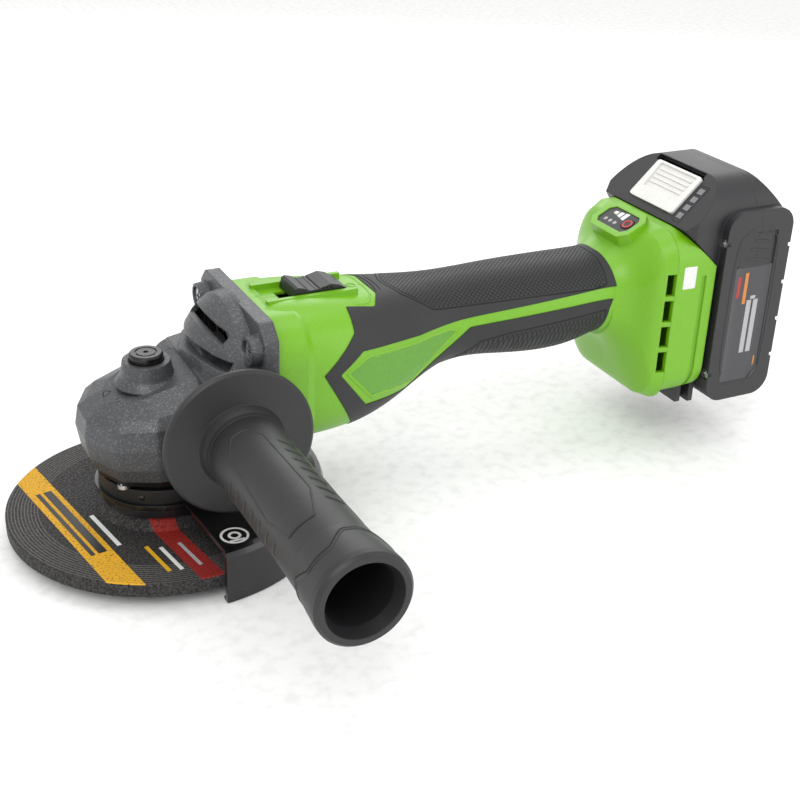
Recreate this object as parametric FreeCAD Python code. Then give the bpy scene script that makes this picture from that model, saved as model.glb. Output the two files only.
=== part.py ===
import FreeCAD, Part
import math
import os

V = FreeCAD.Vector
os.makedirs("parts", exist_ok=True)

# A cordless angle grinder, in millimetres.  The model is laid out about its spindle: the spindle
# turns about Z at x = 0, y = 0, and z = 0 is the underside of the grinding wheel's rim.  +X runs
# back along the motor and grip to the battery, and the side handle points along -Y.  Every solid is
# moved at export so that the origin is the bottom centre of the whole tool.

# ---------------------------------------------------------------- driving dimensions
running_gap = 0.06            # radial gap of a shaft, bush or sliding sleeve
slide_gap = 0.35              # gap round a sliding button or pack
seat_gap = 0.15               # gap between a dropped-in part and its pocket

wheel_diameter = 125.0
wheel_thickness = 6.0
wheel_bore = 22.23
hub_rise = 4.6                # height of the depressed centre above the rim's underside
hub_recess_radius = 21.5      # flat recess that holds the lock nut

spindle_radius = 7.0          # M14 nose
spindle_seat_radius = 6.0     # bearing and gear seat
spindle_shoulder_radius = 8.5
spindle_tail_radius = 4.0
flange_radius = 24.0          # inner wheel flange
flange_thickness = 4.6
nut_radius = 20.5
nut_thickness = 5.6
nut_pin_circle = 15.0
nut_pin_radius = 2.5

bearing_radius = 16.0         # spindle ball bearing, 12 x 32 x 10
bearing_width = 10.0
motor_bearing_radius = 11.0   # motor ball bearings, 8 x 22 x 7
motor_bearing_width = 7.0
shaft_radius = 4.0

neck_radius = 22.3
neck_length = 9.1
cover_thickness = 2.6
guard_inner_radius = 64.6
guard_sheet = 1.8
guard_depth = 22.6
guard_edge_angle = -86.0      # where the half-round guard starts, counted from +X
band_thickness = 2.5
band_height = 6.2
clamp_angle = 33.0            # where the clamp ears stand
clamp_screw_radius = 2.0

motor_axis_z = 61.0
crown_teeth = 30
pinion_teeth = 10
crown_pitch_radius = 19.5
crown_face_width = 5.0
tooth_backlash = 0.45         # thinning of each tooth flank at the pitch line

case_round = 31.3             # the nose of the gear case is on this radius about the spindle
case_half_width = 28.5
case_bottom = 26.2
case_flange_front = 28.0
case_flange_thickness = 10.0
case_flange_half_width = 36.5
case_flange_half_height = 30.3
case_screw_y = 29.5
case_screw_z = 19.2           # from the motor axis
case_screw_sink = 2.9         # from the flange's front to the seat of each screw head
dome_wall = 2.6
case_top_z = 62.7            # sloping top of the gear case, over the spindle
case_top_climb = 0.26
case_top_half_width = 15.0
case_screw_radius = 1.75
screw_socket_radius = 4.3

button_x = -3.3
button_radius = 6.75
button_top = 73.0
button_travel = 3.2
lock_pin_radius = 2.0
lock_pin_x = -9.2

motor_length = 24.0
stator_radius = 19.0
rotor_radius = 10.4
fan_radius = 25.5

handle_x = 17.3
handle_z = 52.7
handle_seat_y = -31.5         # face of the boss on the gear case
handle_rim_radius = 29.6
handle_rim_y = -48.0
handle_grip_radius = 15.0
handle_end_radius = 17.2
handle_end_y = -159.4
handle_bore_radius = 12.6
handle_stud_radius = 4.0
handle_socket_depth = 10.0

collar_length = 15.0
collar_half_width = 34.2
collar_half_height = 28.0
collar_corner = 16.5
housing_half_width = 32.6
housing_half_height = 29.2
housing_length = 40.0         # from the case flange to the taper
taper_length = 42.0
grip_length = 85.0
grip_half_width = 19.8
grip_half_height = 19.2
grip_axis_z = 68.3
flare_length = 14.0
rear_half_width = 34.2
rear_low = 20.4
mount_low = 22.8              # the mount's underside steps up from the housing's
rear_high = 102.2
rear_corner = 14.0
rear_length = 26.0            # from the flare's rim to the back face
mount_length = 20.0           # part of it that is the battery mount
shell_wall = 2.2
rubber_depth = 1.4
rubber_proud = 0.3

slider_front = 55.5
slider_length = 24.0
slider_half_width = 7.7
slider_travel = 9.0
slider_foot_z = 88.3
slider_tip_z = 93.4

switch_half_width = 8.5
switch_depth = 17.0
rib_thickness = 3.0
board_thickness = 1.6
board_half = 15.0             # half the side of the square control board

pack_gap = 2.0
pack_depth = 36.0
pack_half_width = 38.0
pack_low = 19.5
pack_high = 110.5
pack_corner = 9.0
hump_high = 122.2
hump_half_width = 33.6
foot_chamfer = 5.5            # cut off the two lower corners of the hump's slope
hump_corner = 17.0
latch_half_width = 16.0
latch_travel = 4.0
cell_radius = 9.1
cell_length = 65.0

# ---------------------------------------------------------------- places worked out from them
flange_top = wheel_thickness + hub_rise + flange_thickness
neck_low = case_bottom - neck_length
body_front = case_flange_front + case_flange_thickness
housing_end = body_front + housing_length
grip_front = housing_end + taper_length
grip_back = grip_front + grip_length
rim_x = grip_back + flare_length
back_x = rim_x + rear_length
seam_x = back_x - mount_length
pack_front = back_x + pack_gap
pack_back = pack_front + pack_depth
board_x = grip_back + 9.0
guard_outer_radius = guard_inner_radius + guard_sheet
plate_top = neck_low + 0.6
guard_low = plate_top - guard_depth
wheel_radius = wheel_diameter / 2

origin = V(
    (pack_back - wheel_radius) / 2,
    (guard_outer_radius + handle_end_y) / 2,
    min(guard_low, 0.0),
)


# ---------------------------------------------------------------- solids
def place(axis, along, across):
    """Point from a distance along an axis and the two other coordinates, in X, Y, Z order."""
    a, b = across
    return {"X": V(along, a, b), "Y": V(a, along, b), "Z": V(a, b, along)}[axis]


DIRECTION = {"X": V(1, 0, 0), "Y": V(0, 1, 0), "Z": V(0, 0, 1)}


def rod(radius, start, length, axis="Z", at=(0, 0)):
    return Part.makeCylinder(radius, length, place(axis, start, at), DIRECTION[axis])


def ring(outer, inner, start, length, axis="Z", at=(0, 0)):
    return rod(outer, start, length, axis, at).cut(rod(inner, start - 1, length + 2, axis, at))


def cone(radius_a, radius_b, start, length, axis="Z", at=(0, 0)):
    return Part.makeCone(radius_a, radius_b, length, place(axis, start, at), DIRECTION[axis])


def block(x, y, z):
    """Box from three (low, high) pairs."""
    return Part.makeBox(x[1] - x[0], y[1] - y[0], z[1] - z[0], V(x[0], y[0], z[0]))


def join(shapes):
    whole = shapes[0]
    if len(shapes) > 1:
        whole = whole.fuse(shapes[1:])
    return whole.removeSplitter()


def outline(points, radius=0.0):
    """Closed wire through 3-D points, each corner rounded by the same radius."""
    if radius <= 0:
        return Part.makePolygon(points + [points[0]])
    edges = []
    starts = []
    ends = []
    count = len(points)
    for i, corner in enumerate(points):
        before = (points[i - 1] - corner).normalize()
        after = (points[(i + 1) % count] - corner).normalize()
        half = before.getAngle(after) / 2
        back = radius / math.tan(half)
        middle = (before + after).normalize() * (radius / math.sin(half) - radius)
        starts.append(corner + before * back)
        ends.append(corner + after * back)
        edges.append(Part.Arc(starts[i], corner + middle, ends[i]).toShape())
    loop = []
    for i in range(count):
        loop.append(edges[i])
        loop.append(Part.LineSegment(ends[i], starts[(i + 1) % count]).toShape())
    return Part.Wire(loop)


def prism(points, axis, low, high, radius=0.0):
    """Extruded polygon: 2-D points in the plane square to the axis, from low to high along it."""
    wire = outline([place(axis, low, point) for point in points], radius)
    return Part.Face(wire).extrude(DIRECTION[axis] * (high - low))


def section(x, half_width, low, high, corner, grow=0.0, y=0.0):
    """Rounded rectangle square to X."""
    w = half_width + grow
    points = [V(x, y - w, low - grow), V(x, y + w, low - grow), V(x, y + w, high + grow),
              V(x, y - w, high + grow)]
    return outline(points, max(corner + grow, 0.5))


def loft(wires, ruled=False):
    return Part.makeLoft(wires, True, ruled)


def turned(profile, axis="Z", at=(0, 0)):
    """Solid of revolution from (radius, along) points about an axis line."""
    side = {"X": V(0, 0, 1), "Y": V(1, 0, 0), "Z": V(1, 0, 0)}[axis]
    points = [place(axis, along, at) + side * radius for radius, along in profile]
    face = Part.Face(outline(points))
    return face.revolve(place(axis, 0, at), DIRECTION[axis], 360)


def spun(shape, angle, about=V(0, 0, 0), axis=V(0, 0, 1)):
    copy = shape.copy()
    copy.rotate(about, axis, angle)
    return copy


def mirrored(shape):
    """The same shape on the other side of the tool's middle plane."""
    return shape.mirror(V(0, 0, 0), V(0, 1, 0))


def screw(axis, head_at, across, length, radius, head_radius, head_height, toward=1):
    """Pan-head screw with a cross recess: shank from the head's seat along toward * axis."""
    way = DIRECTION[axis] * toward
    seat = place(axis, head_at, across)
    shank = Part.makeCylinder(radius, length, seat, way)
    head = Part.makeCylinder(head_radius, head_height, seat - way * head_height, way)
    solid = shank.fuse(head).removeSplitter()
    slot = []
    for pair in ((head_radius * 1.2, head_radius * 0.3), (head_radius * 0.3, head_radius * 1.2)):
        bar = Part.makeBox(pair[0], pair[1], head_height * 1.2)
        bar.translate(V(-pair[0] / 2, -pair[1] / 2, -head_height * 0.6))
        bar.Placement = FreeCAD.Placement(V(0, 0, 0),
                                          FreeCAD.Rotation(V(0, 0, 1), way)).multiply(bar.Placement)
        bar.translate(seat - way * head_height)
        slot.append(bar)
    return solid.cut(slot)


def ball_bearing(outer, inner, width, start, axis, at=(0, 0)):
    """Outer race with its balls, and inner race."""
    step = (outer - inner) * 0.26
    middle = (outer + inner) / 2
    gap = middle - (inner + step)
    ball = gap - running_gap
    race_out = ring(outer, outer - step, start, width, axis, at)
    race_in = ring(inner + step, inner, start, width, axis, at)
    centre = place(axis, start + width / 2, at)
    side = {"X": V(0, 0, 1), "Y": V(1, 0, 0), "Z": V(1, 0, 0)}[axis]
    balls = []
    for i in range(8):
        sphere = Part.makeSphere(ball, centre + side * middle)
        balls.append(spun(sphere, 45 * i, centre, DIRECTION[axis]))
    return Part.makeCompound([race_out] + balls), race_in


def coil(radius, wire, start, length, turns, axis="Z", at=(0, 0)):
    """Compression spring with its end turns inside the given length."""
    helix = Part.makeHelix((length - 2 * wire) / turns, length - 2 * wire, radius)
    profile = Part.Wire(Part.makeCircle(wire, V(radius, 0, 0), V(0, 1, 0)))
    spring = Part.Wire(helix).makePipeShell([profile], True, True)
    spring.translate(V(0, 0, wire))
    turn = FreeCAD.Rotation(V(0, 0, 1), DIRECTION[axis])
    spring.Placement = FreeCAD.Placement(place(axis, start, at), turn).multiply(spring.Placement)
    return spring


# ---------------------------------------------------------------- wheel, flange and nut
def grinding_wheel():
    bore = wheel_bore / 2
    top = wheel_thickness + hub_rise
    profile = [
        (bore, hub_rise), (hub_recess_radius, hub_rise), (hub_recess_radius + hub_rise, 0),
        (wheel_radius - 0.5, 0), (wheel_radius, 0.5), (wheel_radius, wheel_thickness - 0.5),
        (wheel_radius - 0.5, wheel_thickness), (hub_recess_radius + hub_rise, wheel_thickness),
        (hub_recess_radius, top), (bore, top),
    ]
    return turned(profile)


def inner_flange():
    low = wheel_thickness + hub_rise
    disc = turned([
        (spindle_radius + running_gap, low), (flange_radius - 4, low), (flange_radius - 4, low + 0.4),
        (flange_radius, low + 0.4), (flange_radius, low + flange_thickness - 1.2),
        (flange_radius - 1.2, low + flange_thickness),
        (spindle_radius + running_gap, low + flange_thickness),
    ])
    register = ring(wheel_bore / 2 - seat_gap, spindle_radius + running_gap, low - 3.2, 3.2)
    return join([disc, register])


def lock_nut():
    top = hub_rise
    body = turned([
        (spindle_radius, top - nut_thickness), (nut_radius - 6, top - nut_thickness),
        (nut_radius, top - 2.6), (nut_radius, top), (spindle_radius, top),
    ])
    spigot = ring(wheel_bore / 2 - seat_gap, spindle_radius, top, 2.4)
    holes = []
    for i in range(4):
        hole = rod(nut_pin_radius, top - nut_thickness - 1, nut_thickness - 1, at=(nut_pin_circle, 0))
        holes.append(spun(hole, 90 * i))
    return join([body, spigot]).cut(holes)


# ---------------------------------------------------------------- spindle and gear train
bearing_low = neck_low + 3.4
bearing_high = bearing_low + bearing_width
seal_radius = bearing_radius - 1.4
seal_depth = 2.6
crown_cone_rise = crown_pitch_radius * pinion_teeth / crown_teeth
crown_pitch_z = motor_axis_z - crown_cone_rise
module = 2 * crown_pitch_radius / crown_teeth
crown_web_top = crown_pitch_z - 2.6
crown_back = crown_pitch_z - 8.0
tail_low = crown_web_top + 1.2
bush_low = crown_web_top + 5.9
bush_high = bush_low + 3.6
bush_radius = 6.0


def spindle():
    return turned([
        (0, hub_rise - nut_thickness + 0.6), (spindle_radius - 1, hub_rise - nut_thickness + 0.6),
        (spindle_radius, hub_rise - nut_thickness + 1.6), (spindle_radius, flange_top),
        (spindle_shoulder_radius, flange_top), (spindle_shoulder_radius, bearing_low),
        (spindle_seat_radius, bearing_low), (spindle_seat_radius, tail_low),
        (spindle_tail_radius, tail_low), (spindle_tail_radius, bush_high - 0.6),
        (spindle_tail_radius - 0.6, bush_high), (0, bush_high),
    ])


def bevel_tooth(teeth, pitch_radius, apex, mate_teeth, shrink):
    """Straight bevel tooth about Z, its apex at the origin and its large end at z = -apex.

    The tooth tapers to the apex; its flanks are flat, and thinned by shrink for backlash."""
    pitch_angle = math.atan(teeth / mate_teeth)
    slant = pitch_radius / math.sin(pitch_angle)
    quarter = math.pi * pitch_radius / teeth / 2

    def corners(scale):
        cone_sin = math.sin(pitch_angle)
        cone_cos = math.cos(pitch_angle)
        points = []
        heights = ((-1.3, 1.55), (0.0, 1.0), (0.95, 0.42))
        ladder = [(h, -w) for h, w in heights] + [(h, w) for h, w in reversed(heights)]
        for height, width in ladder:
            along = slant * scale
            rise = height * module * scale
            radius = along * cone_sin + rise * cone_cos
            depth = along * cone_cos - rise * cone_sin
            sideways = width * (quarter - shrink) * scale
            if abs(width) != 1.0:
                sideways = math.copysign(abs(width) * quarter * scale - shrink * scale, width)
            points.append(V(radius, sideways, -depth))
        return outline(points)

    near = 1.0 - crown_face_width / slant
    return loft([corners(1.0), corners(near)], True)


def crown_gear():
    apex = V(0, 0, motor_axis_z)
    tooth = bevel_tooth(crown_teeth, crown_pitch_radius, crown_cone_rise, pinion_teeth, tooth_backlash)
    tooth.translate(apex)
    inner = crown_pitch_radius - crown_face_width
    drop = 1.25 * module
    root_out = crown_pitch_z - drop * 0.95
    root_in = root_out + (crown_face_width + 0.6) * pinion_teeth / crown_teeth
    blank = turned([
        (spindle_seat_radius, crown_back), (crown_pitch_radius - 2, crown_back),
        (crown_pitch_radius + 0.6, crown_back + 2.6), (crown_pitch_radius + 0.6, root_out + 0.1),
        (inner - 0.6, root_in + 0.1), (inner - 0.6, crown_web_top),
        (spindle_seat_radius, crown_web_top),
    ])
    hub = ring(spindle_shoulder_radius, spindle_seat_radius, bearing_high, crown_back - bearing_high)
    holes = []
    for i in range(4):
        hole = rod(lock_pin_radius + 0.4, crown_web_top - 4, 5, at=(lock_pin_x, 0))
        holes.append(spun(hole, 90 * i))
    teeth = [spun(tooth, 360 / crown_teeth * i, apex) for i in range(crown_teeth)]
    return blank.fuse([hub] + teeth).cut(holes).removeSplitter()


def pinion_gear():
    """The pinion's axis is the motor axis; a gap of its teeth faces straight down at rest."""
    pitch_radius = crown_cone_rise
    tooth = bevel_tooth(pinion_teeth, pitch_radius, crown_pitch_radius, crown_teeth, tooth_backlash)
    near = crown_pitch_radius - crown_face_width * 0.95
    core = turned([
        (0.01, -crown_pitch_radius - 0.4), (pitch_radius - 1.2 * module, -crown_pitch_radius - 0.4),
        ((pitch_radius - 1.2 * module) * near / crown_pitch_radius, -near), (0.01, -near),
    ])
    teeth = [spun(tooth, 360 / pinion_teeth * (i + 0.5)) for i in range(pinion_teeth)]
    gear = core.fuse(teeth)
    gear.rotate(V(0, 0, 0), V(0, 1, 0), -90)
    gear.translate(V(0, 0, motor_axis_z))
    shaft_hole = rod(2.4, crown_pitch_radius - crown_face_width - 2, crown_face_width + 8, "X",
                     (0, motor_axis_z))
    return gear.cut(shaft_hole).removeSplitter()


# ---------------------------------------------------------------- gear case and its cover
cavity_radius = crown_pitch_radius + 1.7
cavity_shoulder = crown_pitch_z + 1.5
cavity_top = crown_pitch_z + 3.1
cavity_crest_radius = crown_pitch_radius - crown_face_width + 0.8
front_bearing_x = crown_pitch_radius + 1.6
fan_room_x = front_bearing_x + motor_bearing_width
boss_top = button_top - button_travel
pocket_low = bush_high + 0.9
pocket_high = boss_top - 1.4
plunger_radius = 8.1


def case_level(z, reach, half_width, back, corner=4.0, climb=0.0):
    """Outline of the gear case: its nose is on a round of the given reach about the spindle."""
    across = [(back, half_width), (-0.28 * reach, half_width), (-0.76 * reach, 0.725 * reach),
              (-reach, 0.247 * reach)]
    points = across + [(x, -y) for x, y in reversed(across)]
    return outline([V(x, y, z + climb * x) for x, y in points], corner)


def case_crown(back):
    """Outline of the sloping top of the gear case."""
    w = case_top_half_width
    across = [(back, w), (-9.0, w), (-16.0, 11.5), (-20.5, 4.8)]
    points = across + [(x, -y) for x, y in reversed(across)]
    return outline([V(x, y, case_top_z + case_top_climb * x) for x, y in points], 3.0)


def gear_case_outside():
    w = case_half_width
    r = case_round
    back = case_flange_front + 2
    low = case_bottom + cover_thickness
    levels = [
        case_level(low, r * 0.865, w - 2.6, back),
        case_level(low + 6.1, r * 0.955, w - 1.0, back),
        case_level(low + 15.0, r, w, back),
        case_level(low + 23.6, r * 0.96, w - 0.5, back, 4.0, 0.04),
        case_level(low + 28.4, r * 0.845, w - 3.4, back, 3.0, 0.12),
        case_crown(back),
    ]
    pedestal = cone(13.0, 10.6, case_top_z - 2.2, 3.4, at=(button_x, 0))
    boss = cone(10.6, 9.4, case_top_z + 1.2, boss_top - case_top_z - 1.2, at=(button_x, 0))
    return join([loft(levels, True), pedestal, boss])


dome_front = 12.0             # where the dome starts behind the spindle
dome_low = motor_axis_z + 6.0


def dome(grow):
    """Half dome over the fan's air outlet, turned about the motor axis."""
    back = case_flange_front + 5
    profile = [
        (0.01, dome_front - grow), (10.0 + grow * 0.6, dome_front - grow),
        (16.5 + grow, 14.5 - grow * 0.8),
        (22.5 + grow, 18.0 - grow * 0.6), (27.0 + grow, 22.0), (30.5 + grow, 27.0), (31.5 + grow, back),
        (0.01, back),
    ]
    full = turned(profile, "X", (0, motor_axis_z))
    return full.cut(block((0, 60), (-60, 60), (0, dome_low)))


def air_slot(middle_z, half_length, height, bend):
    """Slot across the front of the dome, bowed upwards on a large radius."""
    start = dome_front - 4
    reach = case_flange_front - 3.5 - start
    arc = ring(bend + height / 2, bend - height / 2, start, reach, "X", (0, middle_z - bend))
    strip = arc.common(block((0, 60), (-half_length, half_length), (middle_z - 30, middle_z + 10)))
    return strip.cut(rod(motor_bearing_radius + 3.4, dome_front + 4.5, 60, "X", (0, motor_axis_z)))


def flange_outline(grow=0.0):
    """Rounded-square flange with four screw corners, as (y, z) points."""
    w = case_flange_half_width + grow
    h = case_flange_half_height + grow
    z = motor_axis_z
    notch = 6.0
    upper = [(w, z + h - notch), (w - notch, z + h), (notch - w, z + h), (-w, z + h - notch)]
    return upper + [(-y, 2 * z - zz) for y, zz in upper]


case_screw_seat = case_flange_front + case_screw_sink
case_screw_length = 16.0


def case_screw_places():
    return [(sy * case_screw_y, motor_axis_z + sz * case_screw_z) for sy in (-1, 1) for sz in (-1, 1)]


def gear_case():
    back = case_flange_front + case_flange_thickness
    flange = prism(flange_outline(), "X", case_flange_front + 4, back, 2.0)
    pillars = [cone(5.6, 6.4, case_flange_front - 0.5, 6, "X", at) for at in case_screw_places()]
    lower = case_bottom + cover_thickness
    neck = cone(24.0, 31.0, 12.0, case_flange_front - 7.5, "X", (0, motor_axis_z))
    neck = neck.cut([block((0, 60), (-60, 60), (0, lower)), block((0, 60), (-60, 60), (dome_low, 120))])
    seat = cone(10.5, 12.0, handle_seat_y, -handle_seat_y - 20, "Y", (handle_x, handle_z))
    outside = join([gear_case_outside(), dome(0.0), flange, neck, seat, mirrored(seat)] + pillars)
    bearing_wall = rod(motor_bearing_radius + 3.4, 0, 60, "X", (0, motor_axis_z))
    dome_room = dome(-dome_wall).cut(bearing_wall).common(
        block((10, fan_room_x + 1), (-40, 40), (motor_axis_z + 9.0, 120)))
    pinion_start = crown_pitch_radius - crown_face_width - 0.6
    pinion_length = front_bearing_x - pinion_start
    hollow = [
        rod(cavity_radius, lower - 1, cavity_shoulder - lower + 1),
        cone(cavity_radius, cavity_crest_radius, cavity_shoulder, cavity_top - cavity_shoulder),
        rod(bush_radius, cavity_top - 1, bush_high + 0.1 - cavity_top + 1),
        cone(crown_cone_rise + 0.6, crown_cone_rise + 2.6, pinion_start, pinion_length, "X",
             (0, motor_axis_z)),
        rod(motor_bearing_radius, front_bearing_x - 0.1, motor_bearing_width + 0.2, "X",
            (0, motor_axis_z)),
        rod(fan_radius + 2.0, fan_room_x, back - fan_room_x + 1, "X", (0, motor_axis_z)),
        dome_room,
        air_slot(motor_axis_z + 13.3, 25.0, 4.2, 125.0),
        air_slot(motor_axis_z + 23.2, 19.0, 4.2, 56.0),
        rod(plunger_radius + 0.3, pocket_low, pocket_high - pocket_low, at=(button_x, 0)),
        rod(button_radius + 0.25, pocket_high - 1, boss_top - pocket_high + 2, at=(button_x, 0)),
        rod(lock_pin_radius + running_gap, cavity_top - 1, pocket_low - cavity_top + 2,
            at=(lock_pin_x, 0)),
        rod(handle_stud_radius, handle_seat_y - 1, handle_socket_depth + 1, "Y", (handle_x, handle_z)),
        rod(handle_stud_radius, -handle_seat_y - handle_socket_depth, handle_socket_depth + 1, "Y",
            (handle_x, handle_z)),
    ]
    for at in case_screw_places():
        hollow.append(rod(screw_socket_radius, case_flange_front - 6,
                          case_screw_seat - case_flange_front + 6, "X", at))
        hollow.append(rod(case_screw_radius + 0.1, case_flange_front, 14.0, "X", at))
    for at in cover_screw_places():
        hollow.append(rod(cover_screw_radius, lower - 1, cover_screw_length, at=at))
    return outside.cut(hollow).removeSplitter()


cover_screw_circle = 25.2
cover_screw_radius = 1.7
cover_screw_length = 9.0
cover_screw_spread = 40.0      # from the X axis


def cover_screw_places():
    reach = cover_screw_circle
    cover_screw_turns = [cover_screw_spread, 180 - cover_screw_spread, 180 + cover_screw_spread,
                         360 - cover_screw_spread]
    return [(reach * math.cos(math.radians(a)), reach * math.sin(math.radians(a)))
            for a in cover_screw_turns]


def bearing_cover():
    low = case_bottom
    upper = case_level(low + cover_thickness, case_round * 0.865, case_half_width - 2.6, 27.0)
    lower = case_level(low, case_round * 0.83, case_half_width - 3.8, 26.0)
    plate = loft([lower, upper], True)
    neck = rod(neck_radius, neck_low, low - neck_low)
    spigot = rod(cavity_radius - seat_gap, low + cover_thickness, 2.6)
    hollow = [
        rod(bearing_radius, bearing_low, 40),
        rod(seal_radius, bearing_low - seal_depth, seal_depth + 0.4),
        rod(spindle_shoulder_radius + 0.4, neck_low - 1, 10),
    ]
    hollow += [rod(cover_screw_radius + 0.1, low - 1, 10, at=at) for at in cover_screw_places()]
    return join([plate, neck, spigot]).cut(hollow).removeSplitter()


def spindle_bearing():
    return ball_bearing(bearing_radius, spindle_seat_radius, bearing_width, bearing_low, "Z")


def upper_bush():
    return ring(bush_radius, spindle_tail_radius + running_gap, bush_low, bush_high - bush_low)


def spindle_seal():
    return ring(seal_radius, spindle_shoulder_radius + running_gap, bearing_low - seal_depth, seal_depth)


def cover_screws():
    return [screw("Z", case_bottom, at, cover_screw_length, cover_screw_radius, 2.7, 1.6)
            for at in cover_screw_places()]


def case_screws():
    radius = case_screw_radius
    return [screw("X", case_screw_seat, at, case_screw_length, radius, 3.9, 2.6)
            for at in case_screw_places()]


# ---------------------------------------------------------------- spindle lock
plunger_high = pocket_high
plunger_thickness = 1.4


def lock_button():
    stem_low = plunger_high
    cap = turned([
        (0.01, stem_low), (button_radius, stem_low), (button_radius, button_top - 0.7),
        (button_radius - 0.7, button_top), (4.4, button_top), (4.4, button_top - 0.35),
        (3.7, button_top - 0.35), (3.7, button_top), (0.01, button_top),
    ], at=(button_x, 0))
    dimple = rod(1.0, button_top - 0.5, 1, at=(button_x, 0))
    return cap.cut(dimple)


def lock_pin():
    disc = rod(plunger_radius, plunger_high - plunger_thickness, plunger_thickness, at=(button_x, 0))
    low = crown_web_top + 0.8
    pin = rod(lock_pin_radius, low, plunger_high - 0.5 - low, at=(lock_pin_x, 0))
    return join([disc, pin])


def lock_spring():
    room = plunger_high - plunger_thickness - pocket_low
    return coil(4.4, 0.35, pocket_low, room, 2.5, at=(button_x + 1.0, 0))


# ---------------------------------------------------------------- guard
def guard_side():
    """Slab that holds the half of space the guard covers."""
    far = 200.0
    keep = block((-far, far), (0, far), (-far, far))
    return spun(keep, guard_edge_angle)


def guard_shell():
    shoulder = 3.0
    outer = guard_outer_radius
    inner = guard_inner_radius
    profile = [
        (neck_radius + running_gap + 0.1, plate_top - guard_sheet),
        (inner - shoulder * 0.6, plate_top - guard_sheet),
        (inner, plate_top - guard_sheet - shoulder * 0.6), (inner, guard_low + 1.4),
        (inner - 1.6, guard_low + 1.4),
        (inner - 1.6, guard_low), (outer, guard_low), (outer, plate_top - shoulder),
        (outer - shoulder * 0.3, plate_top - shoulder * 0.3), (outer - shoulder, plate_top),
        (neck_radius + running_gap + 0.1, plate_top),
    ]
    shell = turned(profile).common(guard_side())
    collar = ring(neck_radius + band_thickness + 1.6, neck_radius + running_gap + 0.1,
                  plate_top - guard_sheet, guard_sheet)
    return join([shell, collar])


ear_length = 6.5
ear_thickness = 2.2
ear_gap = 3.0
ear_middle_z = plate_top + band_height / 2


def at_clamp(shape):
    return spun(shape, clamp_angle)


def guard_band():
    inner = neck_radius + running_gap + 0.1
    outer = neck_radius + band_thickness
    band = ring(outer, inner, plate_top, band_height)
    ear = block((inner + 0.8, outer + ear_length), (ear_gap / 2, ear_gap / 2 + ear_thickness),
                (plate_top, plate_top + band_height))
    ears = join([band, ear, mirrored(ear)]).cut([
        block((0, outer + ear_length + 1), (-ear_gap / 2, ear_gap / 2),
              (plate_top - 1, plate_top + band_height + 1)),
        rod(clamp_screw_radius + 0.15, -20, 40, "Y", (outer + ear_length / 2, ear_middle_z)),
    ])
    return at_clamp(ears)


def clamp_screw():
    reach = neck_radius + band_thickness + ear_length / 2
    head_at = ear_gap / 2 + ear_thickness
    return at_clamp(screw("Y", head_at, (reach, ear_middle_z), 2 * head_at + 5.0, clamp_screw_radius,
                          2.8, 2.4, -1))


def clamp_nut():
    reach = neck_radius + band_thickness + ear_length / 2
    low = -ear_gap / 2 - ear_thickness
    points = [(reach + 3.3 * math.cos(math.radians(60 * i)),
               ear_middle_z + 3.3 * math.sin(math.radians(60 * i)))
              for i in range(6)]
    nut = prism(points, "Y", low - 3.0, low)
    return at_clamp(nut.cut(rod(clamp_screw_radius, low - 5, 8, "Y", (reach, ear_middle_z))))


# ---------------------------------------------------------------- motor
stator_x = body_front + 13.0
stator_back = stator_x + motor_length
coil_overhang = 5.0
rear_bearing_x = stator_back + 9.0
shaft_back = rear_bearing_x + motor_bearing_width + 1.0
fan_x = fan_room_x + 1.0
fan_thickness = 5.6
motor_at = (0, motor_axis_z)


def motor_shaft():
    front = crown_pitch_radius - crown_face_width * 0.95
    nose = rod(2.4, front - 0.5, front_bearing_x - front + 0.5, "X", motor_at)
    main = rod(shaft_radius, front_bearing_x, shaft_back - front_bearing_x, "X", motor_at)
    return join([nose, main])


def motor_bearings():
    """Outer races with their balls, and inner races, of the front and rear motor bearings."""
    outers = []
    inners = []
    for start in (front_bearing_x, rear_bearing_x):
        outer, inner = ball_bearing(motor_bearing_radius, shaft_radius, motor_bearing_width, start,
                                    "X", motor_at)
        outers.append(outer)
        inners.append(inner)
    return outers, inners


def rotor_core():
    return ring(rotor_radius - 2.2, shaft_radius, stator_x, motor_length, "X", motor_at)


def rotor_magnets():
    tube = ring(rotor_radius, rotor_radius - 2.2, stator_x + 0.5, motor_length - 1.0, "X", motor_at)
    gaps = []
    for i in range(6):
        gap = block((stator_x - 1, stator_back + 1), (-0.3, 0.3), (motor_axis_z, motor_axis_z + 20))
        gaps.append(spun(gap, 60 * i, V(0, 0, motor_axis_z), V(1, 0, 0)))
    return tube.cut(gaps)


def stator_tooth_blocks(start, length, half_width, low, high):
    tooth = block((start, start + length), (-half_width, half_width),
                  (motor_axis_z + low, motor_axis_z + high))
    return [spun(tooth, 60 * i, V(0, 0, motor_axis_z), V(1, 0, 0)) for i in range(6)]


def stator_core():
    bore = rotor_radius + 0.5
    yoke = ring(stator_radius, stator_radius - 3.0, stator_x, motor_length, "X", motor_at)
    tips = ring(bore + 1.2, bore, stator_x, motor_length, "X", motor_at)
    slots = stator_tooth_blocks(stator_x - 1, motor_length + 2, 1.2, bore - 2, bore + 4)
    slots = [spun(slot, 30, V(0, 0, motor_axis_z), V(1, 0, 0)) for slot in slots]
    teeth = stator_tooth_blocks(stator_x, motor_length, 2.2, bore + 0.6, stator_radius - 2.6)
    return join([yoke, tips.cut(slots)] + teeth)


def stator_windings():
    bore = rotor_radius + 0.5
    low = bore + 1.35
    high = stator_radius - 3.75
    outer = stator_tooth_blocks(stator_x - coil_overhang, motor_length + 2 * coil_overhang, 4.4, low,
                                high)
    inner = stator_tooth_blocks(stator_x - 0.15, motor_length + 0.3, 2.35, low - 1, high + 1)
    return [a.cut(b) for a, b in zip(outer, inner)]


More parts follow.
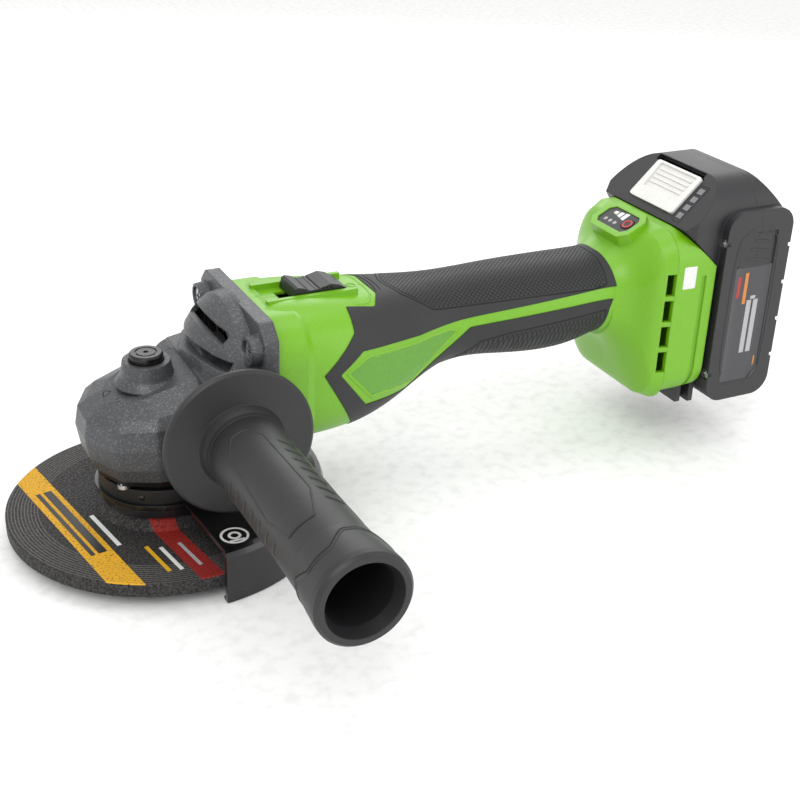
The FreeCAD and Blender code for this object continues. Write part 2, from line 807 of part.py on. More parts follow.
def cooling_fan():
    hub = ring(9.0, shaft_radius, fan_x, fan_thickness + 0.8, "X", motor_at)
    disc = ring(fan_radius, 8.5, fan_x + fan_thickness - 1.6, 1.6, "X", motor_at)
    blades = []
    for i in range(11):
        blade = block((fan_x, fan_x + fan_thickness - 1.4), (-0.7, 0.7),
                      (motor_axis_z + 8.6, motor_axis_z + fan_radius - 0.6))
        blade = spun(blade, 18, V(0, 0, motor_axis_z + 18), V(1, 0, 0))
        blades.append(spun(blade, 360 / 11 * i, V(0, 0, motor_axis_z), V(1, 0, 0)))
    return join([hub, disc] + blades)


def fan_baffle():
    """Ring that closes the fan room towards the motor."""
    return ring(fan_radius + 2.0, 14.0, body_front - 1.8, 1.6, "X", motor_at)


# ---------------------------------------------------------------- motor housing, grip and rear
def main_body(grow):
    """Outside of the two shells behind the collar, moved out by grow."""
    z = motor_axis_z
    w = housing_half_width
    h = housing_half_height
    gw = grip_half_width
    gh = grip_half_height
    gz = grip_axis_z
    mid = housing_end + taper_length * 0.5
    stations = [
        (body_front + 3, w - 0.6, z - h + 1.8, z + h - 1.8, 20.5),
        (body_front + 20, w, z - h, z + h, 22.0),
        (housing_end, w - 2.2, z - h + 1.6, z + h - 1.8, 21.0),
        (mid, (w + gw) / 2 - 1.4, (z - h + gz - gh) / 2 - 0.6, gz + gh - 0.4, 18.5),
        (grip_front, gw + 0.2, gz - gh - 0.3, gz + gh - 0.9, 17.0),
        (grip_front + grip_length * 0.35, gw, gz - gh, gz + gh - 0.3, 17.0),
        (grip_back - 12, gw, gz - gh + 0.6, gz + gh, 17.0),
        (grip_back, gw + 0.8, gz - gh, gz + gh + 1.0, 17.2),
    ]
    return loft([section(x, a, low, high, r, grow) for x, a, low, high, r in stations])


def collar(grow):
    z = motor_axis_z
    w = collar_half_width
    h = collar_half_height
    wires = [
        section(body_front, w, z - h, z + h, collar_corner, grow),
        section(body_front + collar_length - 2, w, z - h, z + h, collar_corner, grow),
        section(body_front + collar_length + 3, housing_half_width - 0.8, z - h + 1.0, z + h - 1.0,
                20.0, grow),
    ]
    return loft(wires, True)


def flare(grow):
    """From the grip out to the rear housing, up to the seam with the battery mount."""
    gw = grip_half_width
    gz = grip_axis_z
    gh = grip_half_height
    wires = [
        section(grip_back - 2, gw + 0.4, gz - gh, gz + gh + 0.6, 17.0, grow),
        section(grip_back + 4, gw + 3.0, gz - gh - 4.5, gz + gh + 3.6, 17.5, grow),
        section(grip_back + 9, gw + 8.5, gz - gh - 15.0, gz + gh + 8.0, 18.0, grow),
        section(rim_x, rear_half_width - 1.4, rear_low + 2.4, rear_high - 2.6, rear_corner + 1, grow),
    ]
    front = loft(wires)
    back = loft([
        section(rim_x, rear_half_width - 1.4, rear_low + 2.4, rear_high - 2.6, rear_corner + 1, grow),
        section(seam_x, rear_half_width, rear_low, rear_high, rear_corner, grow),
    ], True)
    return front, back


panel_x = rim_x - 3.5
panel_half_depth = 5.6
panel_half_width = 11.0
panel_slope = 27.0
panel_z = rear_high - 2.2


def sloped(shape):
    """Tilt a shape that is laid out flat about the panel's middle."""
    copy = shape.copy()
    copy.rotate(V(0, 0, 0), V(0, 1, 0), -panel_slope)
    copy.translate(V(panel_x, 0, panel_z))
    return copy


def panel_outline(depth, width, cut):
    return [(-depth, -width + cut), (-depth, width - cut), (-depth + cut, width), (depth - cut, width),
            (depth, width - cut), (depth, -width + cut), (depth - cut, -width), (-depth + cut, -width)]


def panel_bezel():
    points = panel_outline(panel_half_depth + 3.2, panel_half_width + 3.2, 4.0)
    return sloped(prism(points, "Z", -12.0, 0.5, 1.2))


def control_panel():
    plate = prism(panel_outline(panel_half_depth, panel_half_width, 2.4), "Z", -1.1, 0.1, 0.6)
    hole = rod(3.3, -2, 4, at=(0, -7.0))
    return sloped(plate.cut(hole))


def speed_button():
    return sloped(rod(3.0, -2.6, 2.9, at=(0, -7.0)))


def side_region(points):
    """Prism across the whole tool with the given side outline, as (x, z) points."""
    return prism(points, "Y", -80, 80, 0.8)


def brand_panel():
    """Green panel and stripe that the rubber goes round, as seen from the side."""
    x = housing_end
    z = motor_axis_z
    return side_region([
        (x - 2.0, z + 11.3), (x + 27, z + 10.4), (grip_front + 6, z + 12.4), (grip_back - 14, z + 15.6),
        (grip_back + 20, z + 16.8), (grip_back + 20, z + 11.0), (grip_back - 14, z + 10.4),
        (grip_front + 11, z + 8.2), (x + 23, z - 14.0), (x, z - 13.0), (x - 12.5, z + 3.4),
    ])


def rubber_region():
    x = housing_end
    z = motor_axis_z
    return side_region([
        (x - 3.0, z + 60), (x - 4.6, z + 18.5), (x - 19.5, z + 4.4), (x - 3.5, z - 24.0),
        (x - 2.0, z - 60),
        (grip_back - 9, z - 60), (grip_back - 4, z + 6), (grip_back - 1, z + 16),
        (grip_back - 6, z + 60),
    ])


tongue_back = slider_front + slider_length + 11.0
tongue_half_width = 18.5


def tongue_region():
    points = [(0, -tongue_half_width), (tongue_back - 4, -tongue_half_width),
              (tongue_back, -tongue_half_width + 8),
              (tongue_back, tongue_half_width - 8), (tongue_back - 4, tongue_half_width),
              (0, tongue_half_width)]
    return prism(points, "Z", motor_axis_z, motor_axis_z + 60, 2.0)


def rubber_band():
    skin = main_body(rubber_proud).cut(main_body(-rubber_depth))
    return skin.common(rubber_region()).cut([brand_panel(), tongue_region()])


def rubber_pocket():
    """Where the rubber sits: the same outline, with nothing left over it."""
    skin = main_body(2.0).cut(main_body(-rubber_depth))
    return skin.common(rubber_region()).cut([brand_panel(), tongue_region()])


def switch_rib(room):
    """Rib across the grip that holds the switch between the two halves."""
    rib = block((switch_x + 8, switch_x + 8 + rib_thickness), (-60, 60), (0, 120)).common(room)
    seat = block((switch_x, switch_x + 24), (-switch_half_width, switch_half_width),
                 (rod_bottom - switch_depth, 120))
    rod_way = block((switch_x, switch_x + 24), (-9, 9), (rod_bottom - 0.8, 120))
    return rib.cut([seat, rod_way])


def board_arms():
    """Grooved arms in the rear housing that clasp the two upright edges of the control board."""
    start = board_x - 1.5
    arms = block((start, start + board_thickness + 3.0), (-60, 60), (grip_axis_z - 6, grip_axis_z + 6))
    groove = block((board_x, board_x + board_thickness), (-board_half, board_half), (0, 120))
    window = block((start - 1, start + 10), (1.8 - board_half, board_half - 1.8), (0, 120))
    return [arms.common(room).cut([groove, window]) for room in flare(0.2 - shell_wall)]


def shells():
    front, back = flare(0.0)
    outside = join([main_body(0.0), collar(0.0), front, back, panel_bezel()])
    rails = slider_rails()
    outside = outside.fuse(rails)
    hollow = join([main_body(-shell_wall - rubber_depth),
                   collar(-shell_wall - 1.0)] + list(flare(-shell_wall)))
    ends = [
        block((seam_x, 400), (-99, 99), (-99, 300)),
        block((-99, body_front), (-99, 99), (-99, 300)),
    ]
    shell = outside.cut([hollow, rubber_pocket()] + ends)
    room = main_body(-shell_wall - rubber_depth + 0.2)
    rod_way = block((body_front, grip_front), (-9, 9), (motor_axis_z + 14, 120))
    rib = block((rear_bearing_x, rear_bearing_x + motor_bearing_width), (-60, 60),
                (0, 120)).common(room)
    ribs = [rib.cut([rod(motor_bearing_radius, rear_bearing_x - 1, motor_bearing_width + 2, "X",
                         motor_at), rod_way])]
    for x in (stator_x + 2.0, stator_back - 5.0):
        rib = block((x, x + 3.0), (-60, 60), (0, 120)).common(room)
        ribs.append(rib.cut([rod(stator_radius, x - 1, 5, "X", motor_at), rod_way]))
    ribs += [switch_rib(room)] + board_arms()
    inner_skin = join([main_body(-2.0)] + list(flare(-1.0)))
    pillars = [rod(4.0, -60, 120, "Y", at).common(inner_skin) for at in shell_screw_places()]
    corner_room = join([main_body(-1.2), collar(-1.2)])
    for at in case_screw_places():
        post = rod(case_screw_radius + 2.4, body_front, collar_length + 1, "X", at)
        pillars.append(post.common(corner_room))
    shell = shell.fuse(ribs + pillars)
    cuts = [slider_slot()] + slider_track() + panel_pocket() + case_screw_sockets() + shell_screw_holes()
    cuts += seam_vents()
    shell = shell.cut(cuts)
    near = shell.common(block((-99, 400), (-99, 0), (-99, 300))).removeSplitter()
    far = shell.common(block((-99, 400), (0, 99), (-99, 300))).removeSplitter()
    return near, far


shell_screw_seat = 14.0


def shell_screw_places():
    return [(rear_bearing_x + 14, motor_axis_z - 10), (grip_front + 22, grip_axis_z - 9.0),
            (grip_back - 16, grip_axis_z - 8.5),
            (rim_x + 1.0, rear_low + 14)]


def shell_screw_holes():
    holes = [rod(1.5, -12.0, 28.0, "Y", at) for at in shell_screw_places()]
    return holes + shell_screw_sockets()


def shell_screw_sockets():
    return [rod(3.2, shell_screw_seat, 40, "Y", at) for at in shell_screw_places()]


def shell_screws():
    return [screw("Y", shell_screw_seat, at, 22.0, 1.45, 2.9, 2.0, -1) for at in shell_screw_places()]


def case_screw_sockets():
    depth = case_screw_seat + case_screw_length - body_front
    return [rod(case_screw_radius, body_front - 1, depth + 1.6, "X", at) for at in case_screw_places()]


# ---------------------------------------------------------------- slide switch
track_half_width = slider_half_width + 0.5
track_floor = slider_foot_z - 0.3
slot_half_width = 4.0
switch_x = rear_bearing_x + 24.0


def slider_rails():
    rail = block((slider_front - slider_travel - 3, slider_front + slider_length + 3.0),
                 (track_half_width, track_half_width + 2.2), (motor_axis_z + 20, track_floor + 2.6))
    return [rail, mirrored(rail)]


def slider_track():
    low = slider_front - slider_travel - 2
    high = slider_front + slider_length + 1.2
    return [block((low, high), (-track_half_width, track_half_width), (track_floor, track_floor + 30))]


def slider_slot():
    low = slider_front + 6 - slider_travel - 1.0
    high = slider_front + slider_length - 5.0
    return block((low, high), (-slot_half_width, slot_half_width), (motor_axis_z + 24, 120))


def slide_button():
    f = slider_front
    back = f + slider_length
    base = slider_foot_z
    side = [
        (f, base), (f + 1.0, slider_tip_z - 0.6), (f + 2.2, slider_tip_z),
        (f + 4.2, slider_tip_z - 0.5),
        (f + 7.5, slider_tip_z - 1.9), (f + 11.0, slider_tip_z - 1.6), (f + 16.5, slider_tip_z - 0.2),
        (f + 20.0, slider_tip_z - 1.1), (back, base + 1.6), (back, base),
    ]
    body = prism(side, "Y", -slider_half_width, slider_half_width, 0.35)
    grooves = []
    for i in range(7):
        x = f + 6.2 + 1.7 * i
        grooves.append(rod(0.35, -slider_half_width - 1, 2 * slider_half_width + 2, "Y",
                           (x, slider_tip_z - 1.55)))
    stem = block((f + 7, back - 7), (-slot_half_width + 0.4, slot_half_width - 0.4),
                 (rod_top, base + 0.5))
    return join([body.cut(grooves), stem])


rod_top = motor_axis_z + stator_radius + 2.0
rod_bottom = rod_top - 1.4


def slide_rod():
    front = slider_front + 8.0
    flat = block((front, switch_x - 1.5), (-3.0, 3.0), (rod_bottom, rod_top))
    fork = block((switch_x - 3.5, switch_x - 1.5), (-3.0, 3.0), (rod_bottom - 12.5, rod_top))
    return join([flat, fork])


def switch_body():
    case = block((switch_x, switch_x + 24), (-switch_half_width, switch_half_width),
                 (rod_bottom - switch_depth, rod_bottom - 0.8))
    lugs = [block((switch_x + 24, switch_x + 29), (y - 0.4, y + 0.4), (rod_bottom - 12, rod_bottom - 7))
            for y in (-5, 5)]
    return join([case] + lugs)


def switch_spring():
    front = rear_bearing_x + motor_bearing_width
    return coil(1.8, 0.3, front, switch_x - 3.5 - front, 9, "X", (0, rod_bottom - 9.0))


# ---------------------------------------------------------------- electronics


def control_board():
    return block((board_x, board_x + board_thickness), (-board_half, board_half),
                 (grip_axis_z - board_half, grip_axis_z + board_half))


def board_parts():
    front = board_x + board_thickness
    caps = [rod(4.0, front, 9.0, "X", (y, grip_axis_z - 8)) for y in (-9, 0, 9)]
    chips = [block((front, front + 1.4), (y - 3, y + 3), (grip_axis_z + 3, grip_axis_z + 10))
             for y in (-10, -2.5, 5)]
    return caps + chips


def heat_sink():
    base = block((board_x - 2.2, board_x), (-11, 11), (grip_axis_z - 10, grip_axis_z + 10))
    fins = [block((board_x - 7.0, board_x - 2.0), (y - 0.5, y + 0.5),
                  (grip_axis_z - 10, grip_axis_z + 10))
            for y in range(-10, 11, 4)]
    return join([base] + fins)


# ---------------------------------------------------------------- battery mount
rail_slot_half = 27.0
lip_half = 22.6
rail_slot_depth = 3.4
lip_depth = 2.6
slot_floor_x = back_x - rail_slot_depth - lip_depth
rail_low = pack_low - 3.0      # the rails reach below the housing
slant_sum = rim_x + rear_high + 10.0


def rear_outside(grow):
    return loft([
        section(seam_x, rear_half_width - 0.3, mount_low, rear_high, rear_corner, grow),
        section(back_x - 8, rear_half_width + 0.4, mount_low + 0.3, rear_high, rear_corner, grow),
        section(back_x, rear_half_width + 1.2, mount_low + 1.4, rear_high, rear_corner, grow),
    ], True)


def above_slant(offset=0.0):
    """Everything above the 45 degree parting plane between the rear housing and the pack."""
    reach = 200.0
    s = slant_sum + offset
    points = [(s - 300, 300), (s - rear_low, rear_low), (s - rear_low + reach, rear_low),
              (s + reach, 300)]
    return prism(points, "Y", -80, 80)


def battery_mount():
    body = rear_outside(0.0).cut(above_slant())
    inside = loft([
        section(seam_x, rear_half_width - 0.3, mount_low, rear_high, rear_corner, -shell_wall),
        section(slot_floor_x - 3.0, rear_half_width + 0.3, mount_low + 0.3, rear_high, rear_corner,
                -shell_wall),
    ], True)
    inside = inside.cut(above_slant(-4.2))
    wide = block((slot_floor_x, slot_floor_x + rail_slot_depth), (-rail_slot_half, rail_slot_half),
                 (0, 200))
    narrow = block((slot_floor_x + rail_slot_depth - 0.5, back_x + 1), (-lip_half, lip_half), (0, 200))
    window = block((slot_floor_x - 5, slot_floor_x + 1), (-14, 14), (grip_axis_z - 24, grip_axis_z + 4))
    side_groove = rear_outside(0.5).cut(rear_outside(-0.9)).common(
        block((back_x - 6.5, back_x - 4.5), (-60, 60), (0, grip_axis_z + 14)))
    return body.cut([inside, wide, narrow, window, side_groove]).removeSplitter()


vent_low = motor_axis_z - 23.2
vent_pitch = 12.3
vent_height = 10.0
vent_depth = 4.4


def seam_vents():
    """Four slots on each side of the shells, just in front of the seam with the mount."""
    vents = []
    for i in range(4):
        z = vent_low + vent_pitch * i
        slot = block((seam_x - vent_depth, seam_x + 0.3), (rear_half_width - 8, rear_half_width + 6),
                     (z, z + vent_height))
        vents += [slot, mirrored(slot)]
    return vents


def terminal_block():
    return block((slot_floor_x - 4.0, slot_floor_x), (-14, 14), (grip_axis_z - 24, grip_axis_z + 4))


blade_places = (-9, -3, 3, 9)


def terminal_blades():
    low = grip_axis_z - 18
    return [block((slot_floor_x, back_x - 0.6), (y - 0.4, y + 0.4), (low, low + 12))
            for y in blade_places]


def panel_pocket():
    room = sloped(prism(panel_outline(panel_half_depth + 0.1, panel_half_width + 0.1, 2.4), "Z", -1.1,
                        5.0, 0.6))
    shaft = sloped(rod(3.3, -12, 14, at=(0, -7.0)))
    return [room, shaft]


# ---------------------------------------------------------------- side handle
def handle_profile():
    """Flange and hub of the side handle's hard core, as (radius, y) with y running outwards."""
    hub = handle_seat_y
    rim = handle_rim_y
    return [
        (handle_stud_radius, hub), (10.0, hub), (10.5, hub - 5.5), (handle_rim_radius - 2.0, rim + 1.6),
        (handle_rim_radius, rim + 0.6), (handle_rim_radius, rim - 0.8),
        (handle_rim_radius - 1.0, rim - 1.6),
        (17.0, rim - 3.4), (handle_grip_radius + 0.6, rim - 7.5), (handle_grip_radius + 0.3, rim - 9.6),
        (11.0, rim - 9.6), (10.4, handle_end_y + 42), (handle_stud_radius, handle_end_y + 42),
    ]


def side_handle_core():
    return turned(handle_profile(), "Y", (handle_x, handle_z))


def side_handle_grip():
    start = handle_rim_y - 9.6
    end = handle_end_y
    outside = turned([
        (0.01, start), (handle_grip_radius + 0.2, start), (handle_grip_radius + 0.2, start - 5),
        (handle_grip_radius - 0.3, start - 22), (handle_grip_radius - 0.2, end + 42),
        (handle_grip_radius + 0.4, end + 22), (handle_grip_radius + 1.6, end + 11),
        (handle_end_radius, end + 3.5), (handle_end_radius - 0.1, end + 1.2),
        (handle_end_radius - 1.2, end), (0.01, end),
    ], "Y", (handle_x, handle_z))
    inside = turned([
        (0.01, start + 1), (11.0 + 0.02, start + 1), (11.0, start), (10.4, end + 42), (10.4, end + 40),
        (handle_bore_radius - 1.4, end + 38), (handle_bore_radius - 0.4, end + 5),
        (handle_bore_radius + 1.6, end - 1),
        (0.01, end - 1),
    ], "Y", (handle_x, handle_z))
    return outside.cut(inside)


def handle_stud():
    low = handle_end_y + 44
    high = handle_seat_y + handle_socket_depth - 1.0
    return rod(handle_stud_radius, low, high - low, "Y", (handle_x, handle_z))


# ---------------------------------------------------------------- battery pack
pack_wall = 2.4
case_split_x = pack_front + pack_depth * 0.5
hump_foot_z = rear_high + 0.5
hump_foot_x = slant_sum + 0.6 - hump_foot_z
hump_slope = 43.5
hump_crest_x = hump_foot_x + (hump_high - hump_foot_z) / math.tan(math.radians(hump_slope))
hump_back_x = pack_back - 14.0
cell_pitch = (pack_high - pack_low - 2 * pack_wall - 2 * cell_radius) / 4 - 0.05
cell_zigzag = 4.3
cell_middle_x = pack_back - pack_wall - 0.5 - cell_radius - cell_zigzag
latch_middle = 14.6           # along the slope, from the hump's foot
latch_half_length = 10.4
latch_thickness = 3.0
latch_proud = 0.9


def on_slope(shape):
    """Carry a shape laid out flat about the hump's foot onto the slope: +X runs up it."""
    copy = shape.copy()
    copy.rotate(V(0, 0, 0), V(0, 1, 0), -hump_slope)
    copy.translate(V(hump_foot_x, 0, hump_foot_z))
    return copy


def pack_block(grow=0.0):
    """The wide block that holds the cells."""
    w = pack_half_width + grow
    corners = [(pack_front - grow, pack_low - grow), (pack_back + grow, pack_low - grow),
               (pack_back + grow, pack_high + grow), (pack_front - grow, pack_high + grow)]
    return prism(corners, "Y", -w, w, max(pack_corner + grow, 0.5))


def pack_hump(grow=0.0):
    """Rounded ridge that reaches over the rear housing."""
    ends = [section(x, hump_half_width, rear_low + 30, hump_high, hump_corner, grow)
            for x in (hump_foot_x - 6, pack_back)]
    top = hump_high + grow
    side = prism([
        (hump_foot_x - grow * 1.2, hump_foot_z - grow), (hump_crest_x - grow * 0.4, top),
        (hump_back_x, top),
        (pack_back + grow, pack_high - 6), (pack_back + grow, pack_high - 30),
        (pack_front - grow, pack_high - 30), (pack_front - grow, slant_sum + 0.6 - pack_front - grow),
    ], "Y", -80, 80)
    w = hump_half_width + grow
    plan = prism([
        (hump_foot_x - 3, foot_chamfer - w), (hump_foot_x + foot_chamfer, -w - 1),
        (pack_back + 9, -w - 1),
        (pack_back + 9, w + 1), (hump_foot_x + foot_chamfer, w + 1),
        (hump_foot_x - 3, w - foot_chamfer),
    ], "Z", 0, 200)
    return loft(ends, True).common(side).common(plan)


def pack_rails():
    """T-shaped foot that slides down the slot in the rear of the housing."""
    low = rail_low
    wide = block((slot_floor_x + slide_gap, slot_floor_x + rail_slot_depth - slide_gap),
                 (slide_gap - rail_slot_half, rail_slot_half - slide_gap),
                 (low, slant_sum - slot_floor_x - 3))
    neck = block((slot_floor_x + rail_slot_depth - slide_gap - 0.2, pack_front + 1),
                 (slide_gap - lip_half, lip_half - slide_gap), (low, slant_sum - back_x - 3))
    skirt = block((back_x + slide_gap, pack_front + 1), (6 - rear_half_width, rear_half_width - 6),
                  (pack_low - 3.0, pack_low + 10))
    return [wide, neck, skirt]


def terminal_slots():
    top = grip_axis_z - 5
    return [block((slot_floor_x, back_x + 0.4), (y - 0.9, y + 0.9), (0, top)) for y in blade_places]


def pack_screw_places():
    y = pack_half_width - pack_wall + 0.2
    return [(sy * y, z) for sy in (-1, 1) for z in (pack_low + 14, pack_high - 14)]


def pack_case():
    outside = join([pack_block(), pack_hump()] + pack_rails())
    cells = pack_block(-pack_wall)
    crest = block((hump_crest_x - 4, hump_back_x - 1), (-24, 24),
                  (pack_high - 8, hump_high - pack_wall))
    crest = crest.common(pack_hump(-pack_wall))
    posts = [rod(2.4, pack_front + 1, pack_depth - 2, "X", at) for at in pack_screw_places()]
    hollow = cells.fuse(crest).cut(posts)
    screws = [rod(1.15, pack_front - 1, 25.0, "X", at) for at in pack_screw_places()]
    screws += [rod(2.2, pack_front - 1, 3.0, "X", at) for at in pack_screw_places()]
    rooms = terminal_slots() + latch_room() + charge_room() + side_recesses()
    return outside.cut([hollow] + screws + rooms)


def side_recesses():
    """Label field, slanted grooves and rear notches on both sides of the pack."""
    deep = 0.8
    w = pack_half_width
    field = prism([
        (pack_front + 7.5, pack_high - 15), (pack_front + 13, pack_high - 10),
        (pack_back - 8, pack_high - 10),
        (pack_back - 8, pack_low + 15), (pack_back - 13, pack_low + 9),
        (pack_front + 7.5, pack_low + 9),
    ], "Y", -w - 1, -w + deep, 1.0)
    notches = [block((pack_back - 1.2, pack_back + 1), (-w - 1, w + 1), (z, z + 2.0))
               for z in (pack_low + 18, pack_low + 36, pack_low + 54, pack_low + 72)]
    return [field, mirrored(field)] + notches


def latch_room():
    """Pocket for the latch, the room behind it and the way for its hook."""
    reach = latch_half_length + slide_gap
    w = latch_half_width + slide_gap
    low = latch_middle - reach
    high = latch_middle + reach
    deep = latch_thickness - latch_proud + latch_travel + 0.6
    pocket = block((low, high), (-w, w), (-deep, 20))
    slot = block((high - 0.5, high + 2.6), (-w + 1, w + 2.5), (-2.4, 20))
    spring = rod(3.4, -deep - 5.2, 8, at=(latch_middle, 0))
    return [on_slope(pocket), on_slope(slot), on_slope(spring)]


def battery_latch():
    w = latch_half_width
    low = latch_middle - latch_half_length
    high = latch_middle + latch_half_length
    top = latch_proud
    plate = prism([(low, -w), (high, -w), (high, w), (low, w)], "Z", top - latch_thickness, top, 1.6)
    dish = prism([(low + 6.5, -w + 4.0), (high - 1.2, -w + 2.8), (high - 1.2, w - 2.8),
                  (low + 6.5, w - 4.0)],
                 "Z", top - 1.1, top + 1, 0.8)
    ribs = [block((low + 9.5 + 2.4 * i, low + 10.5 + 2.4 * i), (-w + 4.4, w - 4.4),
                  (top - 1.2, top - 0.5))
            for i in range(4)]
    return on_slope(join([plate.cut(dish)] + ribs))


def latch_spring():
    deep = latch_thickness - latch_proud + latch_travel + 0.6
    length = deep + 5.2 + latch_proud - latch_thickness
    return on_slope(coil(2.6, 0.3, -deep - 5.2, length, 6, at=(latch_middle, 0)))


charge_y = latch_half_width + 4.4


def charge_bars(grow=0.0):
    start = latch_middle - 9.2
    return [on_slope(block((start + 4.6 * i - 1.5 - grow, start + 4.6 * i + 1.5 + grow),
                           (-charge_y - 1.7 - grow, -charge_y + 1.7 + grow),
                           (-1.4, 0.15 if grow == 0 else 3)))
            for i in range(4)]


def charge_room():
    return charge_bars(0.1)


def pack_halves():
    whole = pack_case()
    front = whole.common(block((0, case_split_x), (-99, 99), (-50, 200))).removeSplitter()
    back = whole.common(block((case_split_x, 400), (-99, 99), (-50, 200))).removeSplitter()
    return front, back


def cell_places():
    middle = (pack_low + pack_high) / 2
    return [(cell_middle_x + (cell_zigzag if i % 2 else -cell_zigzag), middle + (i - 2) * cell_pitch)
            for i in range(5)]


def battery_cells():
    cells = []
    for at in cell_places():
        cells.append(rod(cell_radius, -cell_length / 2, cell_length, "Y", at))
    return cells


def cell_holders():
    low = pack_low + pack_wall + 0.3
    high = pack_high - pack_wall - 0.3
    plate = prism([(pack_front + pack_wall + 3.2, low), (pack_back - pack_wall - 0.2, low),
                   (pack_back - pack_wall - 0.2, high),
                   (pack_front + pack_wall + 3.2, high)], "Y", 20, 26,
                  pack_corner - pack_wall)
    plate = plate.cut([rod(cell_radius + seat_gap, 10, 30, "Y", at) for at in cell_places()])
    return [plate, mirrored(plate)]


def cell_strips():
    """Nickel strips that join the cells in a chain."""
    places = cell_places()
    strips = []
    for side, pairs in ((1, ((0, 1), (2, 3))), (-1, ((1, 2), (3, 4)))):
        for a, b in pairs:
            start = side * cell_length / 2
            one = places[a]
            two = places[b]
            run = math.hypot(two[0] - one[0], two[1] - one[1])
            strip = Part.makeBox(run + 7, 0.25, 7, V(-3.5, 0 if side > 0 else -0.25, -3.5))
            strip.rotate(V(0, 0, 0), V(0, 1, 0),
                         -math.degrees(math.atan2(two[1] - one[1], two[0] - one[0])))
            strip.translate(V(one[0], start, one[1]))
            strips.append(strip)
    return strips


def battery_board():
    x = pack_front + pack_wall + 0.4
    plate = block((x, x + 1.6), (-24, 24), (pack_low + 12, pack_high - 16))
    chips = block((x + 1.6, x + 2.6), (-4, 4), (pack_low + 40, pack_low + 48))
    return join([plate, chips])


def battery_screws():
    return [screw("X", pack_front + 2.0, at, 21.5, 1.1, 2.1, 1.4) for at in pack_screw_places()]


# ---------------------------------------------------------------- every node
spindle_outer, spindle_inner = spindle_bearing()
motor_outers, motor_inners = motor_bearings()
near_shell, far_shell = shells()
rubber = rubber_band()
near_side = block((-99, 400), (-99, 0), (-99, 300))
far_side = block((-99, 400), (0, 99), (-99, 300))
pack_shell_front, pack_shell_rear = pack_halves()

nodes = {
    "grinding_wheel": grinding_wheel(),
    "inner_flange": inner_flange(),
    "lock_nut": lock_nut(),
    "spindle": spindle(),
    "spindle_bearing_outer": spindle_outer,
    "spindle_bearing_inner": spindle_inner,
    "upper_bush": upper_bush(),
    "spindle_seal": spindle_seal(),
    "crown_gear": crown_gear(),
    "pinion_gear": pinion_gear(),
    "gear_case": gear_case(),
    "bearing_cover": bearing_cover(),
    "cover_screws": cover_screws(),
    "case_screws": case_screws(),
    "lock_button": lock_button(),
    "lock_pin": lock_pin(),
    "lock_spring": lock_spring(),
    "guard_shell": guard_shell(),
    "guard_band": guard_band(),
    "clamp_screw": clamp_screw(),
    "clamp_nut": clamp_nut(),
    "motor_shaft": motor_shaft(),
    "motor_bearing_outers": motor_outers,
    "motor_bearing_inners": motor_inners,
    "rotor_core": rotor_core(),
    "rotor_magnets": rotor_magnets(),
    "stator_core": stator_core(),
    "stator_windings": stator_windings(),
    "cooling_fan": cooling_fan(),
    "fan_baffle": fan_baffle(),
    "left_shell": near_shell,
    "right_shell": far_shell,
    "grip_rubber_left": rubber.common(near_side),
    "grip_rubber_right": rubber.common(far_side).cut(shell_screw_sockets()),
    "shell_screws": shell_screws(),
    "slide_button": slide_button(),
    "slide_rod": slide_rod(),
    "switch_body": switch_body(),
    "switch_spring": switch_spring(),
    "control_board": control_board(),
    "board_parts": board_parts(),
    "heat_sink": heat_sink(),
    "control_panel": control_panel(),
    "speed_button": speed_button(),
    "battery_mount": battery_mount(),
    "terminal_block": terminal_block(),
    "terminal_blades": terminal_blades(),
    "side_handle_core": side_handle_core(),
    "side_handle_grip": side_handle_grip(),
    "handle_stud": handle_stud(),
    "battery_case_front": pack_shell_front,
    "battery_case_rear": pack_shell_rear,
    "battery_cells": battery_cells(),
    "cell_holders": cell_holders(),
    "cell_strips": cell_strips(),
    "battery_board": battery_board(),
    "battery_screws": battery_screws(),
    "battery_latch": battery_latch(),
    "latch_spring": latch_spring(),
    "charge_bars": charge_bars(),
}

for name, shape in nodes.items():
    if isinstance(shape, list):
        shape = Part.makeCompound(shape)
    moved = shape.copy()
    moved.translate(-origin)
    moved.exportStep("parts/" + name + ".step")
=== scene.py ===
import math

import bpy
from mathutils import Matrix, Vector
from mathutils.bvhtree import BVHTree


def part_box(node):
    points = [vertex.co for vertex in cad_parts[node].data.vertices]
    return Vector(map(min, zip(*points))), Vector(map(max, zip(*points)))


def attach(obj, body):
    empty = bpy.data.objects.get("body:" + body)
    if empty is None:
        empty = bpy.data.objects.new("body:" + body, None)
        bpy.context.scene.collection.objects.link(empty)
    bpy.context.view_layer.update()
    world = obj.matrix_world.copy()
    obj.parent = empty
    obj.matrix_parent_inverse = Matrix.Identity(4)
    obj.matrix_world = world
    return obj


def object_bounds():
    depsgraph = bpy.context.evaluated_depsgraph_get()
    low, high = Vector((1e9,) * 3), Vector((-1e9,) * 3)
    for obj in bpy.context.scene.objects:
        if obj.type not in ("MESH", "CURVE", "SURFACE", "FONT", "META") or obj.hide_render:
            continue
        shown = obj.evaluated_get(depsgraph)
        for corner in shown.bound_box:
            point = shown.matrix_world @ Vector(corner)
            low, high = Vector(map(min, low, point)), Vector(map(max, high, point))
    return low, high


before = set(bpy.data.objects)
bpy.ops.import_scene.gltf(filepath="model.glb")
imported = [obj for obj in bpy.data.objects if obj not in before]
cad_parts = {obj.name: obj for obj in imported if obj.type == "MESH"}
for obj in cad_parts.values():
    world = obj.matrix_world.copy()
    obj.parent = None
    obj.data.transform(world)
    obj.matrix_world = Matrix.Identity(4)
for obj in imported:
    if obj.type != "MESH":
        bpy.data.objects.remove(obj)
cad_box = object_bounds()
MM = 0.001
METRE_MM = 1000

